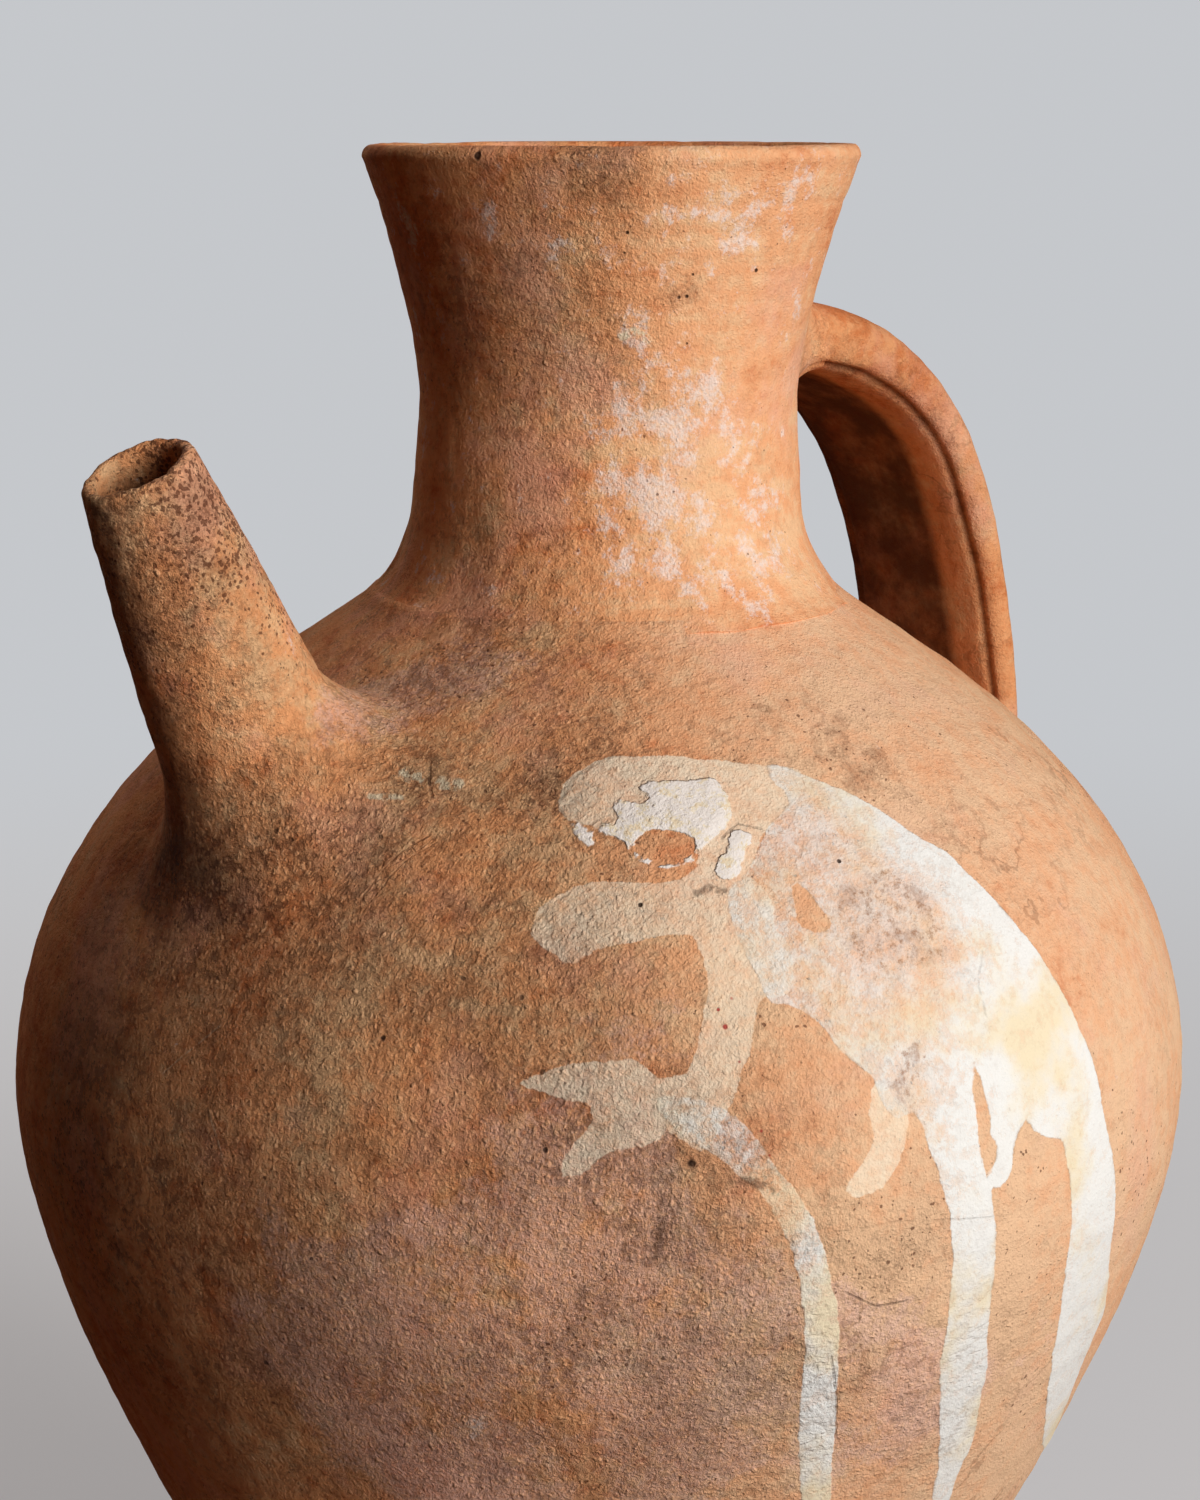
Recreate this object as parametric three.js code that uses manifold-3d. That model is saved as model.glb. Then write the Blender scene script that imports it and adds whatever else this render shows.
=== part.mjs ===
// A spouted terracotta jug, built as a potter builds it: two thrown halves, a neck, a spout and a
// pulled strap handle, each made apart and luted together with coils and wads of soft clay.
// Millimetres and degrees. Z is up, the jug stands on Z = 0, its spout points to -X and its handle
// to +X.
import * as THREE from 'three';
import { mergeVertices } from 'three/addons/utils/BufferGeometryUtils.js';
import Module from 'manifold-3d';

const wasm = await Module();
wasm.setup();

// Driving dimensions
const clearance = 0.3; // left between any two pieces that touch

// A pull is how far a curve's end keeps its first direction, as on a draughtsman's French curve.
const base = { radius: 63, thickness: 11, pull: 142, flare: 61.7 };
const girth = { radius: 149.6, height: 208, pullDown: 32, pullUp: 79 };
const wall = 8; // of both thrown halves
const tongue = { height: 6, thickness: 4 }; // of the lower half, inside the skirt of the upper one

const seat = { radius: 58.5, height: 331, pull: 15.4, slope: 50.6 }; // where the neck stands
const neckHole = { radius: 50, ringInset: 2.5 }; // the thick ring round it ends inside the seat
const neck = { footRadius: 56.5, footPull: 17.8, footSlope: 57.8, wall: 6, spigotWall: 6 };
const waist = { radius: 46.6, height: 375, pullDown: 18.6, pullUp: 14, borePull: 20 };
const rim = { radius: 61, height: 440, pull: 26, slope: 69 };

const spout = { rootHeight: 296, lean: 24.6, length: 83.8, mouthRadius: 12.9, rootRadius: 22 };
const spoutTube = { middleRadius: 18.4, middlePlace: 45, wall: 3.2, tail: 16 };
const spoutHole = { radius: 14, reach: 40 };
const collar = { height: 24, lip: 1.2, spread: 13, depth: 22, hollowAt: 6 };

const strap = { width: 52, thickness: 12, squareness: 3.2 };
const strapUpper = { height: 392, pull: 68, depth: 1.5 };
const strapLower = { height: 230, pull: 111, drift: 3.9, depth: 8.8 };
const wad = { overlap: 3, upperLength: 24, lowerLength: 40, bed: 2 };

const girthCoilRadius = 5;
const neckCoilRadius = 4.5;

// How finely the round shapes are divided
const roundSides = 60;
const spoutSides = 24;
const outlineSteps = { lower: 11, upper: 10, neck: 6, lip: 4 };
const strapSteps = 18;
const strapSides = 16;
const coilSteps = 6;

const clay = { orange: 0xb87850, buff: 0xc08458, brown: 0x9a6240 };

// Turns a closed geometry into a solid that can be cut or joined.
function solidOf(geometry) {
  const bare = geometry.clone();
  bare.deleteAttribute('normal');
  bare.deleteAttribute('uv');
  const merged = mergeVertices(bare, 1e-4);
  const vertProperties = new Float32Array(merged.attributes.position.array);
  const corners = merged.index.array;
  const kept = [];
  for (let i = 0; i < corners.length; i += 3) {
    const [a, b, c] = [corners[i], corners[i + 1], corners[i + 2]];
    if (a !== b && b !== c && c !== a) kept.push(a, b, c);
  }
  const triVerts = Uint32Array.from(kept);
  return new wasm.Manifold(new wasm.Mesh({ numProp: 3, vertProperties, triVerts }));
}

function geometryOf(solid) {
  const mesh = solid.getMesh();
  const geometry = new THREE.BufferGeometry();
  geometry.setAttribute('position', new THREE.BufferAttribute(mesh.vertProperties, 3));
  geometry.setIndex(new THREE.BufferAttribute(mesh.triVerts, 1));
  const flat = geometry.toNonIndexed();
  flat.computeVertexNormals();
  return flat;
}

function cut(geometry, ...cutters) {
  return geometryOf(cutters.reduce((left, cutter) => left.subtract(cutter), solidOf(geometry)));
}

// A section is a list of points, x being the radius and y the height.
const at = (radius, height) => new THREE.Vector2(radius, height);

function along(angle, length) {
  const a = THREE.MathUtils.degToRad(angle);
  return at(Math.cos(a) * length, Math.sin(a) * length);
}

// Revolves a section about Z. It has to run counter-clockwise seen with the radius to the right.
function turned(section, sides) {
  return new THREE.LatheGeometry(section, sides).rotateX(Math.PI / 2);
}

// Revolves a section that doesn't touch the axis, so it is closed on itself.
function turnedRing(section, sides) {
  return turned([...section, section[0].clone()], sides);
}

// Moves an outline sideways. The distance is outward for an outline drawn upwards.
function offsetOutline(points, distance) {
  return points.map((point, i) => {
    const before = points[Math.max(i - 1, 0)];
    const after = points[Math.min(i + 1, points.length - 1)];
    const run = after.clone().sub(before).normalize();
    return at(point.x + run.y * distance, point.y - run.x * distance);
  });
}

// Radius of an outline at a height
function radiusAt(points, height) {
  const i = points.findIndex((point) => point.y >= height);
  const [low, high] = [points[i - 1], points[i]];
  return THREE.MathUtils.mapLinear(height, low.y, high.y, low.x, high.x);
}

// Height at which an outline that narrows upwards comes in to a radius
function heightAt(points, radius) {
  const i = points.findIndex((point) => point.x <= radius);
  const [low, high] = [points[i - 1], points[i]];
  return THREE.MathUtils.mapLinear(radius, low.x, high.x, low.y, high.y);
}

// Outlines of the body and the neck
function lowerOutline(steps) {
  const foot = at(base.radius, 0);
  const top = at(girth.radius, girth.height);
  const footHandle = foot.clone().add(along(base.flare, base.pull));
  const topHandle = at(girth.radius, girth.height - girth.pullDown);
  return new THREE.CubicBezierCurve(foot, footHandle, topHandle, top).getPoints(steps);
}

function upperOutline(steps) {
  const low = at(girth.radius, girth.height);
  const top = at(seat.radius, seat.height);
  const lowHandle = at(girth.radius, girth.height + girth.pullUp);
  const topHandle = top.clone().add(along(-seat.slope, seat.pull));
  return new THREE.CubicBezierCurve(low, lowHandle, topHandle, top).getPoints(steps);
}

function neckOutline(steps) {
  const foot = at(neck.footRadius, seat.height + clearance);
  const footHandle = foot.clone().add(along(180 - neck.footSlope, neck.footPull));
  const middle = at(waist.radius, waist.height);
  const below = at(waist.radius, waist.height - waist.pullDown);
  const above = at(waist.radius, waist.height + waist.pullUp);
  const top = at(rim.radius, rim.height - neck.wall / 2);
  const topHandle = top.clone().add(along(180 + rim.slope, rim.pull));
  const lower = new THREE.CubicBezierCurve(foot, footHandle, below, middle).getPoints(steps);
  const upper = new THREE.CubicBezierCurve(middle, above, topHandle, top).getPoints(steps);
  return [...lower, ...upper.slice(1)];
}

const tongueOuter = girth.radius - wall + tongue.thickness;
const innerGirth = girth.radius - wall;
const tongueTop = girth.height + tongue.height;

function lowerBody() {
  const outer = lowerOutline(outlineSteps.lower);
  const floorGap = wall / 2; // the first inner point stands clear of the floor's corner
  const inner = offsetOutline(outer, -wall).filter((point) => point.y > base.thickness + floorGap);
  const floorRadius = radiusAt(outer, base.thickness) - wall;
  const section = [
    at(0, 0),
    ...outer,
    at(tongueOuter, girth.height),
    at(tongueOuter, tongueTop),
    at(innerGirth, tongueTop),
    ...inner.reverse(),
    at(floorRadius, base.thickness),
    at(0, base.thickness),
  ];
  return turned(section, roundSides);
}

const shoulderInside = offsetOutline(upperOutline(outlineSteps.upper), -wall);
const ringRadius = seat.radius - neckHole.ringInset;
const ringHeight = heightAt(shoulderInside, ringRadius);

// The inside of the shoulder, from the seam up to the flat ring under the neck hole
function upperInside() {
  const low = at(radiusAt(shoulderInside, tongueTop + clearance), tongueTop + clearance);
  const above = tongueTop + wall / 2; // the first point of the curve stands clear of the seam
  const between = shoulderInside.filter((p) => p.y > above && p.y < ringHeight - clearance);
  return [low, ...between, at(ringRadius, ringHeight)];
}

function upperBody() {
  const outer = upperOutline(outlineSteps.upper);
  outer[0].y += clearance;
  const section = [
    ...outer,
    at(neckHole.radius, seat.height),
    at(neckHole.radius, ringHeight),
    ...upperInside().reverse(),
    at(tongueOuter + clearance, tongueTop + clearance),
    at(tongueOuter + clearance, girth.height + clearance),
  ];
  return turnedRing(section, roundSides);
}

function neckShell() {
  const outer = neckOutline(outlineSteps.neck);
  const spigotOuter = neckHole.radius - clearance;
  const spigotInner = spigotOuter - neck.spigotWall;
  const boreRadius = waist.radius - neck.wall;
  const lip = [];
  for (let i = 1; i < outlineSteps.lip; i++) {
    const step = along((180 * i) / outlineSteps.lip, neck.wall / 2);
    lip.push(at(rim.radius - neck.wall / 2, rim.height - neck.wall / 2).add(step));
  }
  const boreAbove = outer.filter((point) => point.y > waist.height)
    .map((point) => at(point.x - neck.wall, point.y)).reverse();
  const boreBelow = new THREE.CubicBezierCurve(
    at(boreRadius, waist.height),
    at(boreRadius, waist.height - waist.borePull),
    at(spigotInner, ringHeight + waist.borePull),
    at(spigotInner, ringHeight),
  ).getPoints(outlineSteps.neck);
  const section = [
    at(spigotOuter, ringHeight),
    at(spigotOuter, seat.height + clearance),
    ...outer,
    ...lip,
    ...boreAbove,
    ...boreBelow,
  ];
  return turnedRing(section, roundSides);
}

// The coils inside are half round, with their flat side against the clay that they hold.
function halfRound(centre, radius, startAngle) {
  const section = [];
  for (let i = 0; i <= coilSteps; i++) {
    section.push(centre.clone().add(along(startAngle + (180 * i) / coilSteps, radius)));
  }
  return turnedRing(section, roundSides);
}

function girthCoil() {
  const wallRadius = radiusAt(upperInside(), tongueTop + girthCoilRadius);
  return halfRound(at(wallRadius - clearance, tongueTop), girthCoilRadius, 90);
}

const neckCoil = () => halfRound(
  at(neckHole.radius, ringHeight - clearance), neckCoilRadius, 180);

// Solids as large as the outside of the shoulder or the neck, grown by a distance. What is luted
// on from outside is cut to its shape with these.
function shoulderForm(distance) {
  const outline = offsetOutline(upperOutline(outlineSteps.upper), distance);
  const low = at(outline[0].x, girth.height - wall);
  return turned([at(0, low.y), low, ...outline, at(0, seat.height + distance)], roundSides);
}

function neckForm(distance) {
  const outline = offsetOutline(neckOutline(outlineSteps.neck), distance);
  return turned([at(0, outline[0].y), ...outline, at(0, rim.height)], roundSides);
}

// The spout is made upright on its own axis, with its root at the origin, and then leaned.
const rootRadius = radiusAt(upperOutline(outlineSteps.upper), spout.rootHeight);
const spoutGroup = new THREE.Group();
spoutGroup.position.set(-rootRadius, 0, spout.rootHeight);
spoutGroup.rotation.y = THREE.MathUtils.degToRad(-spout.lean);
spoutGroup.updateMatrixWorld(true);
const intoSpout = spoutGroup.matrixWorld.clone().invert();
const shoulderAtSpout = solidOf(shoulderForm(clearance).applyMatrix4(intoSpout));

function spoutOutline(distance) {
  const curve = new THREE.QuadraticBezierCurve(
    at(spout.rootRadius, 0),
    at(spoutTube.middleRadius, spoutTube.middlePlace),
    at(spout.mouthRadius, spout.length - spoutTube.wall / 2),
  );
  return curve.getPoints(outlineSteps.upper).map((point) => at(point.x + distance, point.y));
}

function spoutPiece() {
  const outer = spoutOutline(0);
  const bore = spoutOutline(-spoutTube.wall);
  const lip = at(spout.mouthRadius - spoutTube.wall / 2, spout.length);
  const section = [
    at(outer[0].x, -spoutTube.tail),
    ...outer,
    lip,
    ...bore.reverse(),
    at(spout.rootRadius - spoutTube.wall, -spoutTube.tail),
  ];
  return cut(turnedRing(section, spoutSides), shoulderAtSpout);
}

function collarPiece() {
  const inner = spoutOutline(clearance).filter((point) => point.y < collar.height);
  const topRadius = radiusAt(spoutOutline(clearance), collar.height);
  const flare = new THREE.QuadraticBezierCurve(
    at(spout.rootRadius + collar.spread, -collar.depth / 2),
    at(topRadius + collar.lip, collar.hollowAt),
    at(topRadius + collar.lip, collar.height),
  ).getPoints(outlineSteps.neck);
  const section = [
    at(spout.rootRadius + clearance, -collar.depth),
    at(spout.rootRadius + collar.spread, -collar.depth),
    ...flare,
    at(topRadius, collar.height),
    ...inner.reverse(),
  ];
  return cut(turnedRing(section, spoutSides), shoulderAtSpout);
}

function spoutHoleCutter() {
  const drill = new THREE.CylinderGeometry(
    spoutHole.radius, spoutHole.radius, spoutHole.reach, spoutSides);
  return solidOf(drill.rotateX(Math.PI / 2).applyMatrix4(spoutGroup.matrixWorld));
}

// Where an end of the strap starts behind a round wall, so that its whole width is buried there
function buried(radius, depth) {
  const halfWidth = strap.width / 2 + wad.overlap;
  return Math.sqrt(radius ** 2 - halfWidth ** 2) - depth;
}

// The handle's middle line leaves the neck level, arches over and comes down on the shoulder.
const neckRadius = radiusAt(neckOutline(outlineSteps.neck), strapUpper.height);
const shoulderRadius = radiusAt(upperOutline(outlineSteps.upper), strapLower.height);
const strapStart = new THREE.Vector3(buried(neckRadius, strapUpper.depth), 0, strapUpper.height);
const strapEnd = new THREE.Vector3(buried(shoulderRadius, strapLower.depth), 0, strapLower.height);
const strapPath = new THREE.CubicBezierCurve3(
  strapStart,
  new THREE.Vector3(strapStart.x + strapUpper.pull, 0, strapStart.z),
  new THREE.Vector3(strapEnd.x - strapLower.drift, 0, strapEnd.z + strapLower.pull),
  strapEnd,
);

// The strap's section is a rounded rectangle, grown all round by a distance.
function strapSection(distance) {
  const points = [];
  for (let i = 0; i < strapSides; i++) {
    const angle = (2 * Math.PI * i) / strapSides;
    const [c, s] = [Math.cos(angle), Math.sin(angle)];
    const rounding = 2 / strap.squareness;
    const across = Math.sign(c) * Math.abs(c) ** rounding * (strap.width / 2 + distance);
    const deep = Math.sign(s) * Math.abs(s) ** rounding * (strap.thickness / 2 + distance);
    points.push(at(across, deep));
  }
  return new THREE.Shape(points);
}

function strapAlong(path, distance, steps) {
  const options = { steps, extrudePath: path, bevelEnabled: false };
  return new THREE.ExtrudeGeometry(strapSection(distance), options);
}

function handlePiece() {
  return cut(strapAlong(strapPath, 0, strapSteps),
    solidOf(neckForm(wad.bed)), solidOf(shoulderForm(wad.bed)));
}

// Room for the handle in its wads of clay, a clearance larger than the handle itself
function handleRoom() {
  return solidOf(strapAlong(strapPath, clearance, strapSteps))
    .subtract(solidOf(neckForm(wad.bed - clearance)))
    .subtract(solidOf(shoulderForm(wad.bed - clearance)));
}

// A wad is a thicker, straight stump of the strap, cut to the wall behind it.
function wadPiece(end, length, form) {
  const run = strapPath.getTangentAt(end).multiplyScalar(end === 0 ? 1 : -1);
  const foot = strapPath.getPointAt(end);
  const tip = foot.clone().addScaledVector(run, length);
  const stump = strapAlong(new THREE.LineCurve3(foot, tip), wad.overlap, 1);
  return cut(stump, solidOf(form), handleRoom());
}

const jug = new THREE.Group();

function add(parent, name, geometry, color, roughness) {
  const material = new THREE.MeshStandardMaterial({ color, roughness, metalness: 0 });
  const mesh = new THREE.Mesh(geometry, material);
  mesh.name = name;
  parent.add(mesh);
}

add(jug, 'lower_body', lowerBody(), clay.orange, 0.9);
add(jug, 'upper_body', cut(upperBody(), spoutHoleCutter()), clay.orange, 0.9);
add(jug, 'neck', neckShell(), clay.orange, 0.9);
add(jug, 'girth_coil', girthCoil(), clay.brown, 0.95);
add(jug, 'neck_coil', neckCoil(), clay.brown, 0.95);
add(jug, 'handle', handlePiece(), clay.buff, 0.9);
add(jug, 'handle_upper_wad',
  wadPiece(0, wad.upperLength, neckForm(clearance)), clay.brown, 0.95);
add(jug, 'handle_lower_wad',
  wadPiece(1, wad.lowerLength, shoulderForm(clearance)), clay.brown, 0.95);
add(spoutGroup, 'spout', spoutPiece(), clay.buff, 0.9);
add(spoutGroup, 'spout_collar', collarPiece(), clay.brown, 0.95);
jug.add(spoutGroup);

export default jug;
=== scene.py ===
# %% [markdown]
# # A spouted clay jug
#
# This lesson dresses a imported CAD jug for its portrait. The real one is hand-made and unglazed: a
# thrown bowl and shoulder, a flaring neck, a side spout and a pulled strap handle, luted together
# with soft clay, and splashed down one side with white slip. Every length is in millimetres until
# a mesh is made, because that is how a potter measures.

# %% Load the fixed frame
import math

import bpy
import numpy as np
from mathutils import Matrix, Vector


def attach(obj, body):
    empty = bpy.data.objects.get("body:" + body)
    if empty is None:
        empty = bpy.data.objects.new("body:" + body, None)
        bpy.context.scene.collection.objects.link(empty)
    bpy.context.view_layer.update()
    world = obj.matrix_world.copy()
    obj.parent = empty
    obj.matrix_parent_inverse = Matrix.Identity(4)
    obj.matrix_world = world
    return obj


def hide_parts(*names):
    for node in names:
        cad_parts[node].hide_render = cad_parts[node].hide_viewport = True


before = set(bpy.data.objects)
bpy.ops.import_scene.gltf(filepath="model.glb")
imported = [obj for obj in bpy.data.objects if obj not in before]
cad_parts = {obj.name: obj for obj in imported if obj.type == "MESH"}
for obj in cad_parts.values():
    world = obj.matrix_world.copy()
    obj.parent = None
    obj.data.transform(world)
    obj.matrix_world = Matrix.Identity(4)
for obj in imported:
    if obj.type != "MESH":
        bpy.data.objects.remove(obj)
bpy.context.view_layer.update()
MM = 0.001
print("CAD nodes:", ", ".join(sorted(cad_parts)))

# %% [markdown]
# ## The viewpoint
#
# The photograph looks down on the jug a little, from between the spout and the handle. The camera
# comes first, because the marks on the clay are later placed by where they show in the picture.

# %% Camera
PHOTO_WIDTH, PHOTO_HEIGHT = 1200, 1500
LENS, SENSOR = 72, 36
CAMERA_TURN = math.radians(-43)  # 0 looks along +Y
CAMERA_DISTANCE, CAMERA_HEIGHT = 0.749, 0.4474
CAMERA_DIP = math.radians(12)
CAMERA_SHIFT = 0.0003  # to its right, so that both edges of the jug agree with the photograph

# From the jug to the camera
toward = np.array([math.sin(CAMERA_TURN), -math.cos(CAMERA_TURN), 0.0])
camera_right = np.array([math.cos(CAMERA_TURN), math.sin(CAMERA_TURN), 0.0])
camera_place = toward * CAMERA_DISTANCE + np.array([0, 0, CAMERA_HEIGHT])
camera_place = camera_place + camera_right * CAMERA_SHIFT
camera_way = -toward * math.cos(CAMERA_DIP) - np.array([0, 0, math.sin(CAMERA_DIP)])
camera_up = np.cross(camera_right, camera_way)

camera_data = bpy.data.cameras.new("portrait_camera")
camera_data.lens, camera_data.sensor_width = LENS, SENSOR
camera = bpy.data.objects.new("portrait_camera", camera_data)
camera.location = camera_place
camera.rotation_euler = Vector(camera_way).to_track_quat("-Z", "Y").to_euler()
bpy.context.scene.collection.objects.link(camera)
bpy.context.scene.camera = camera
print("camera stands", round(float(np.linalg.norm(camera_place)), 3), "m from the jug's foot")

# %% [markdown]
# ## Small tools: curves and clay noise
#
# The outlines are Bezier curves, as a French curve would draw them. Clay is never quite smooth, so
# a soft random field stands in for the potter's uneven hands. It depends only on the place in
# space, so it runs on from one piece of clay to the next without a break.

# %% Curves and noise
PULL_SHARE = np.array([1, 3, 3, 1])


def bezier(corners, steps):
    """Points on a Bezier curve of three or four corners."""
    corners = np.array(corners, float)
    t = np.linspace(0, 1, steps + 1)[:, None]
    if len(corners) == 3:
        weights = np.hstack([(1 - t) ** 2, 2 * t * (1 - t), t**2])
    else:
        powers = np.arange(4)
        weights = PULL_SHARE * t**powers * (1 - t) ** (3 - powers)
    return weights @ corners


def along(angle, length):
    a = math.radians(angle)
    return np.array([math.cos(a), math.sin(a)]) * length


def evenly(points, spacing):
    """The same line with its points a spacing apart."""
    points = np.array(points, float)
    gone = np.append(0, np.cumsum(np.linalg.norm(np.diff(points, axis=0), axis=1)))
    count = max(2, int(round(gone[-1] / spacing)) + 1)
    where = np.linspace(0, gone[-1], count)
    return np.stack([np.interp(where, gone, column) for column in points.T], axis=1)


def soft_step(low, high, value):
    t = np.clip((value - low) / (high - low), 0, 1)
    return t * t * (3 - 2 * t)


def unit(vectors):
    return vectors / np.maximum(np.linalg.norm(vectors, axis=1)[:, None], 1e-9)


HILLS = 256
HILL_HEIGHT = 1.6  # brings the noise to about -1 to 1
SEED_STEP = 17.31  # how far each seed moves the field
hill_dice = np.random.default_rng(7)
hill_slopes = hill_dice.normal(size=(HILLS, 3))
hill_slopes /= np.linalg.norm(hill_slopes, axis=1)[:, None]
hill_order = hill_dice.permutation(HILLS)


def clay_noise(points, size, seed):
    """Smooth values of about -1 to 1, with hills about a size apart."""
    place = points / size + seed * SEED_STEP
    cell = np.floor(place).astype(int)
    inside = place - cell
    ease = inside**3 * (inside * (inside * 6 - 15) + 10)
    total = np.zeros(len(points))
    for corner in np.ndindex(2, 2, 2):
        pick = cell + corner
        pick = hill_order[(hill_order[(hill_order[pick[:, 0] % HILLS] + pick[:, 1]) % HILLS]
                           + pick[:, 2]) % HILLS]
        weight = np.prod(np.where(corner, ease, 1 - ease), axis=1)
        total += weight * np.sum(hill_slopes[pick] * (inside - corner), axis=1)
    return total * HILL_HEIGHT


# %% [markdown]
# ## The outlines of the jug
#
# These are the same sizes that the CAD was driven by. The bowl rises from a flat foot of 126 mm to
# a girth of almost 300 mm, the shoulder curls in under the neck, and the neck pinches to a waist
# and flares again to the rim at 440 mm.

# %% Outlines
base = {"radius": 63, "thickness": 11, "pull": 142, "flare": 61.7}
girth = {"radius": 149.6, "height": 208, "pull_down": 32, "pull_up": 79}
wall = 8
tongue = {"height": 6, "thickness": 4}
seat = {"radius": 58.5, "height": 331, "pull": 15.4, "slope": 50.6}
neck_hole = {"radius": 50, "ring_radius": 56, "ring_height": 324.4}
neck = {"foot_radius": 56.5, "foot_pull": 17.8, "foot_slope": 57.8, "wall": 6, "spigot_wall": 6}
waist = {"radius": 46.6, "height": 375, "pull_down": 18.6, "pull_up": 14, "bore_pull": 20}
rim = {"radius": 61, "height": 440, "pull": 26, "slope": 69}
FINE = 200  # steps in an outline before it is divided evenly

girth_point = np.array([girth["radius"], girth["height"]])
lower_outline = bezier([
    (base["radius"], 0),
    np.array([base["radius"], 0]) + along(base["flare"], base["pull"]),
    girth_point - (0, girth["pull_down"]),
    girth_point,
], FINE)
seat_point = np.array([seat["radius"], seat["height"]])
upper_outline = bezier([
    girth_point,
    girth_point + (0, girth["pull_up"]),
    seat_point + along(-seat["slope"], seat["pull"]),
    seat_point,
], FINE)
foot_point = np.array([neck["foot_radius"], seat["height"]])
waist_point = np.array([waist["radius"], waist["height"]])
lip_point = np.array([rim["radius"], rim["height"] - neck["wall"] / 2])
neck_outline = np.vstack([
    bezier([
        foot_point,
        foot_point + along(180 - neck["foot_slope"], neck["foot_pull"]),
        waist_point - (0, waist["pull_down"]),
        waist_point,
    ], FINE),
    bezier([
        waist_point,
        waist_point + (0, waist["pull_up"]),
        lip_point + along(180 + rim["slope"], rim["pull"]),
        lip_point,
    ], FINE)[1:],
])


class Wall:
    """The outside of the jug, or a part of it, as an ideal turned wall."""

    def __init__(self, outline):
        self.line = evenly(outline, 0.4)
        run = np.gradient(self.line, axis=0)
        run /= np.linalg.norm(run, axis=1)[:, None]
        self.out = np.stack([run[:, 1], -run[:, 0]], axis=1)
        self.length = np.append(0, np.cumsum(np.linalg.norm(np.diff(self.line, axis=0), axis=1)))

    def radius(self, height):
        return np.interp(height, self.line[:, 1], self.line[:, 0])

    def up_the_wall(self, height):
        return np.interp(height, self.line[:, 1], self.length)

    def stands_off(self, points):
        """How far points stand out from the wall, negative inside it."""
        _, out, gap = self.nearest(points)
        return gap

    def nearest(self, points):
        """The nearest points of the wall, its outward directions there, and the distances."""
        flat = np.stack([np.hypot(points[:, 0], points[:, 1]), points[:, 2]], axis=1)
        around = points[:, :2] / np.maximum(flat[:, :1], 1e-6)
        best = np.argmin(((flat[:, None, :] - self.line[None]) ** 2).sum(2), axis=1)
        found, out = self.line[best], self.out[best]
        gap = ((flat - found) * out).sum(1)
        found = flat - out * gap[:, None]
        place = np.column_stack([around * found[:, :1], found[:, 1]])
        return place, np.column_stack([around * out[:, :1], out[:, 1]]), gap


shoulder_wall = Wall(upper_outline)
neck_wall = Wall(neck_outline)
whole_wall = Wall(np.vstack([lower_outline, upper_outline[1:], neck_outline]))
print("outline from foot to rim:", round(float(whole_wall.length[-1])), "mm")

# %% [markdown]
# ## Uneven hands
#
# Three things keep a thrown pot from being a perfect solid of revolution. It is a little out of
# round, the fingers leave a shallow spiral, and the scraped clay is lumpy. The whole jug also leans
# by three quarters of a degree, which is put on last, as a shear.

# %% Hand-made unevenness
LEAN = 0.01296  # sideways for each millimetre of height
LEAN_HEIGHT = girth["height"]
OUT_OF_ROUND, OUT_OF_ROUND_SIZE = 0.45, 95
GIRTH_SQUASH, GIRTH_REACH = 0.42, 50  # the widest part is a little tighter than it was thrown
# Size of the lumps, their height and the seed of their noise
SCRAPED_LUMPS = [(26, 0.28, 2), (10, 0.16, 3), (4.5, 0.13, 4)]


def handwork(points, ripple=0.10, pitch=9.0):
    """How far the clay stands out from its ideal place."""
    turn = np.arctan2(points[:, 1], points[:, 0]) / (2 * math.pi)
    near_girth = np.exp(-((points[:, 2] - girth["height"]) / GIRTH_REACH) ** 2)
    uneven = OUT_OF_ROUND * clay_noise(points, OUT_OF_ROUND_SIZE, 1)
    squashed = uneven - GIRTH_SQUASH * near_girth
    lumpy = sum(high * clay_noise(points, size, seed) for size, high, seed in SCRAPED_LUMPS)
    strength = 0.6 + 0.5 * clay_noise(points * (0.3, 0.3, 1), 28, 5)
    spiral = np.sin(2 * math.pi * (points[:, 2] / pitch + turn)) * strength
    return squashed + lumpy + ripple * spiral


def lean(points):
    """The real jug leans towards the camera's right."""
    shift = LEAN * (points[:, 2] - LEAN_HEIGHT)
    return points + shift[:, None] * camera_right


# %% [markdown]
# ## From the picture to the clay
#
# A mark in the photograph is looked up on the clay by following the line of sight until it meets
# the wall. That gives a turn round the jug and a distance up the wall, and there the mark can be
# measured in real millimetres, from any side.

# %% Lines of sight
SIGHT_NEAR, SIGHT_FAR, SIGHT_STEPS = 450, 1150, 1400
FOCAL = LENS / SENSOR * PHOTO_HEIGHT


def sight(across, down):
    """The direction in which the camera sees a pixel of the photograph."""
    way = (camera_way + camera_right * (across - PHOTO_WIDTH / 2) / FOCAL
           - camera_up * (down - PHOTO_HEIGHT / 2) / FOCAL)
    return way / np.linalg.norm(way)


def on_clay(across, down):
    """The place on the upright, ideal jug that shows at a pixel. A near miss gives the edge."""
    reach = np.linspace(SIGHT_NEAR, SIGHT_FAR, SIGHT_STEPS)[:, None]
    places = camera_place / MM + sight(across, down) * reach
    places = places - (LEAN * (places[:, 2:] - LEAN_HEIGHT)) * camera_right
    gap = np.hypot(places[:, 0], places[:, 1]) - whole_wall.radius(places[:, 2])
    inside = np.nonzero(gap < 0)[0]
    return places[inside[0]] if len(inside) else places[np.argmin(gap)]


def wrapped(turn):
    """The same turn between minus and plus half a circle."""
    return (turn + math.pi) % (2 * math.pi) - math.pi


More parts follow.
